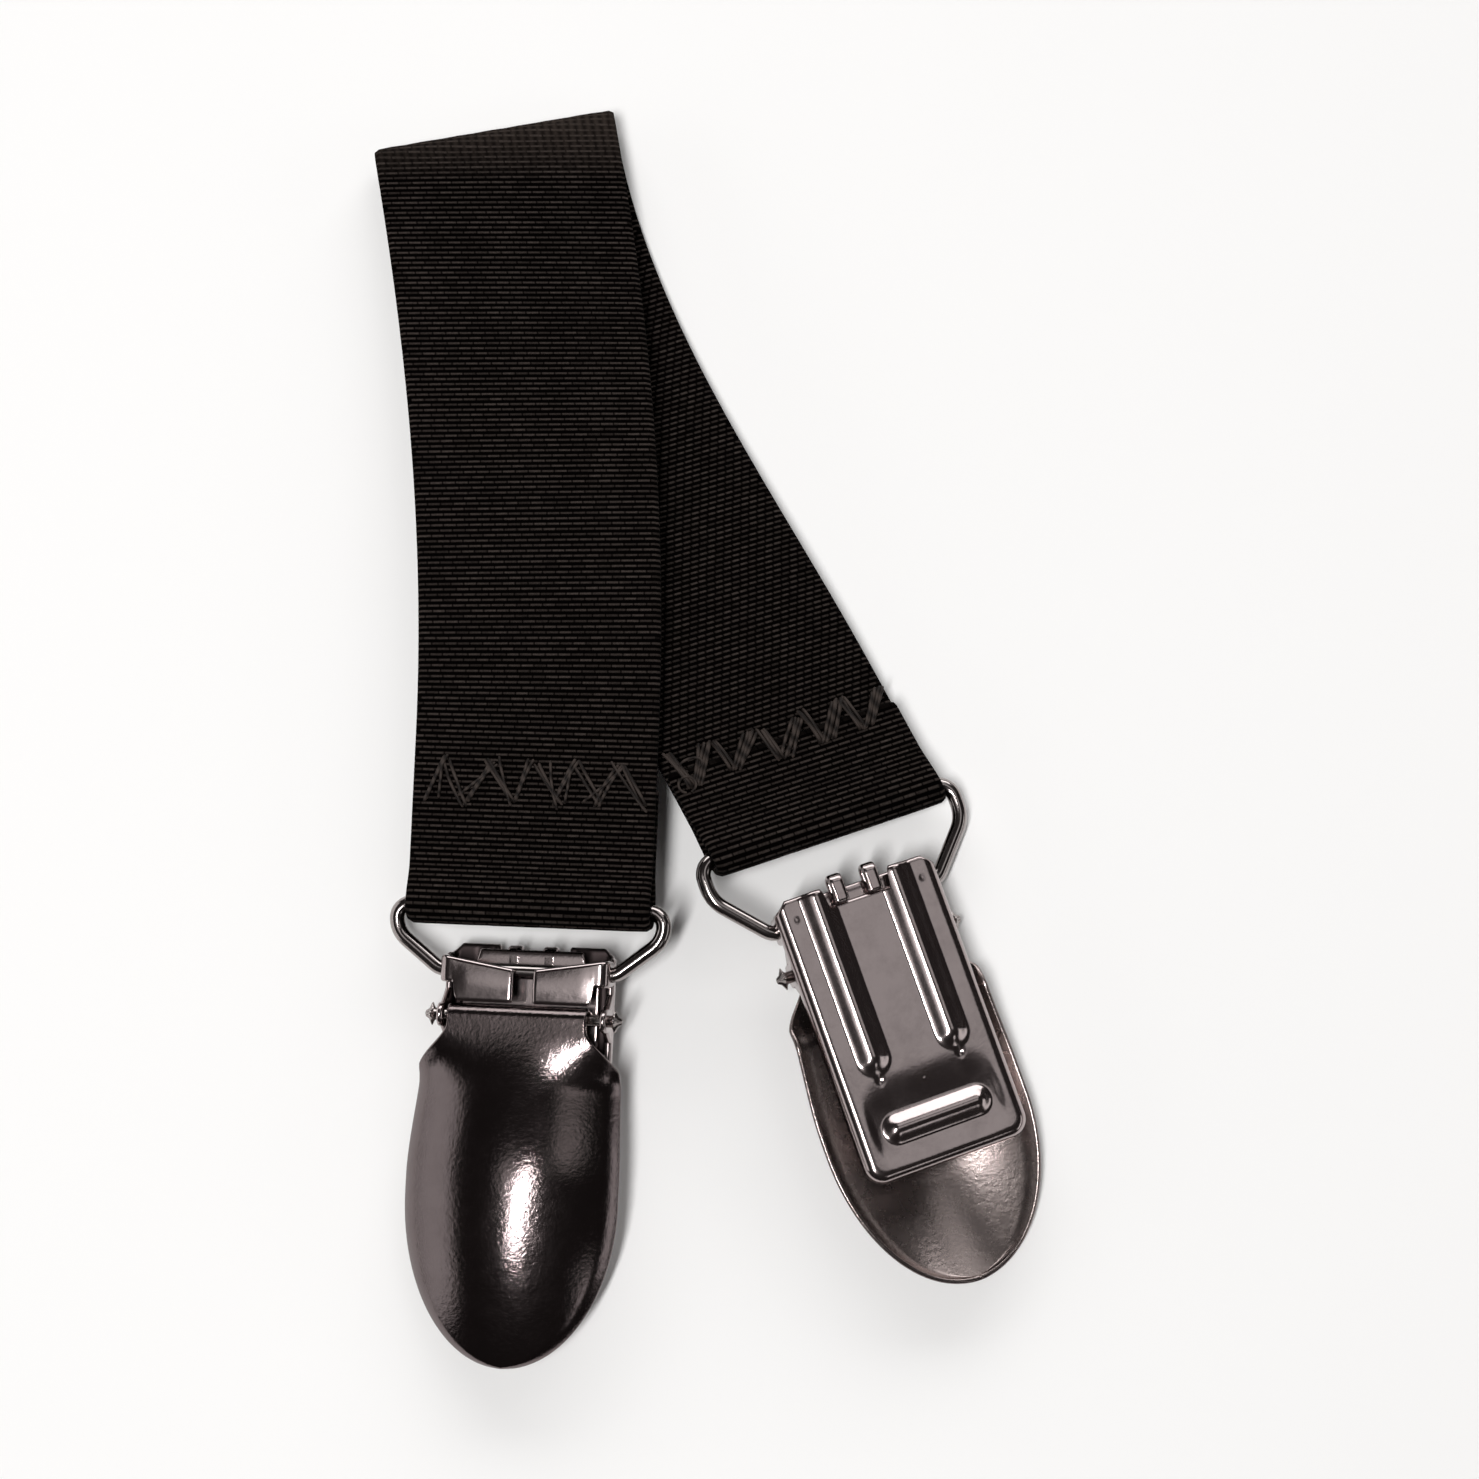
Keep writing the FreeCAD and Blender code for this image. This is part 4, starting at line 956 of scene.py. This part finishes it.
def softbox(name, bearing, height, distance, size, radiance, shape="RECTANGLE", along=(0, 1, 0)):
    """A flat lamp that faces the object, seen from it at a bearing (0 towards the viewer's feet,
    90 to the right) and a height in degrees.  Its longer side follows `along`.  Power = radiance
    x pi x area."""
    azimuth, elevation = math.radians(bearing), math.radians(height)
    away = Vector((math.sin(azimuth) * math.cos(elevation), -math.cos(azimuth) * math.cos(elevation),
                   math.sin(elevation)))
    long_side = Vector(along)
    long_side = (long_side - away * long_side.dot(away)).normalized()
    turn = Matrix((long_side.cross(away), long_side, away)).transposed()
    light = bpy.data.lights.new(name, "AREA")
    light.shape = shape
    light.size, light.size_y = size
    light.energy = radiance * math.pi * size[0] * size[1]
    lamp = bpy.data.objects.new(name, light)
    lamp.matrix_world = Matrix.Translation(focus + away * distance) @ turn.to_4x4()
    bpy.context.scene.collection.objects.link(lamp)
    return lamp


floor_of_white_board()
focus = Vector((0.0039, -0.00245, 0.005))
softbox("strip_lamp", -40, 75, 0.8, (0.060, 0.40), 62.0, shape="ELLIPSE", along=(0.44, 1, 0))
softbox("upper_card", -81, 71, 0.8, (0.24, 0.32), 0.45, shape="ELLIPSE")
softbox("left_window", -92, 13, 0.8, (0.34, 1.0), 1.0)
softbox("back_window", 178, 27, 0.9, (0.42, 1.3), 3.2, along=(1, 0, 0))
softbox("right_card", 114, 67, 0.7, (0.20, 0.24), 0.50, shape="ELLIPSE", along=(1, 0, 0))
softbox("tip_card", 152, 52, 0.7, (0.26, 0.30), 0.62, shape="ELLIPSE", along=(1, 0, 0))
softbox("right_window", 78, 17, 0.8, (0.2, 0.6), 1.1)
softbox("front_card", 40, 38, 0.7, (0.12, 0.16), 0.9, shape="ELLIPSE")

world = bpy.data.worlds.new("studio")
world.use_nodes = True
world.node_tree.nodes["Background"].inputs[0].default_value = linear("#c9bfbd")
world.node_tree.nodes["Background"].inputs[1].default_value = 0.05
bpy.context.scene.world = world

camera_data = bpy.data.cameras.new("camera")
camera_data.sensor_width = 36
camera_data.lens = 67.7
camera_data.clip_start = 0.01
camera = bpy.data.objects.new("camera", camera_data)
view = Vector((0, -math.cos(math.radians(82)), math.sin(math.radians(82))))
camera.location = focus + view * 0.280
camera.rotation_euler = view.to_track_quat("Z", "Y").to_euler()
bpy.context.scene.collection.objects.link(camera)
bpy.context.scene.camera = camera

# plain sRGB, so that the board stays white and the cloth black
bpy.context.scene.view_settings.view_transform = "Standard"
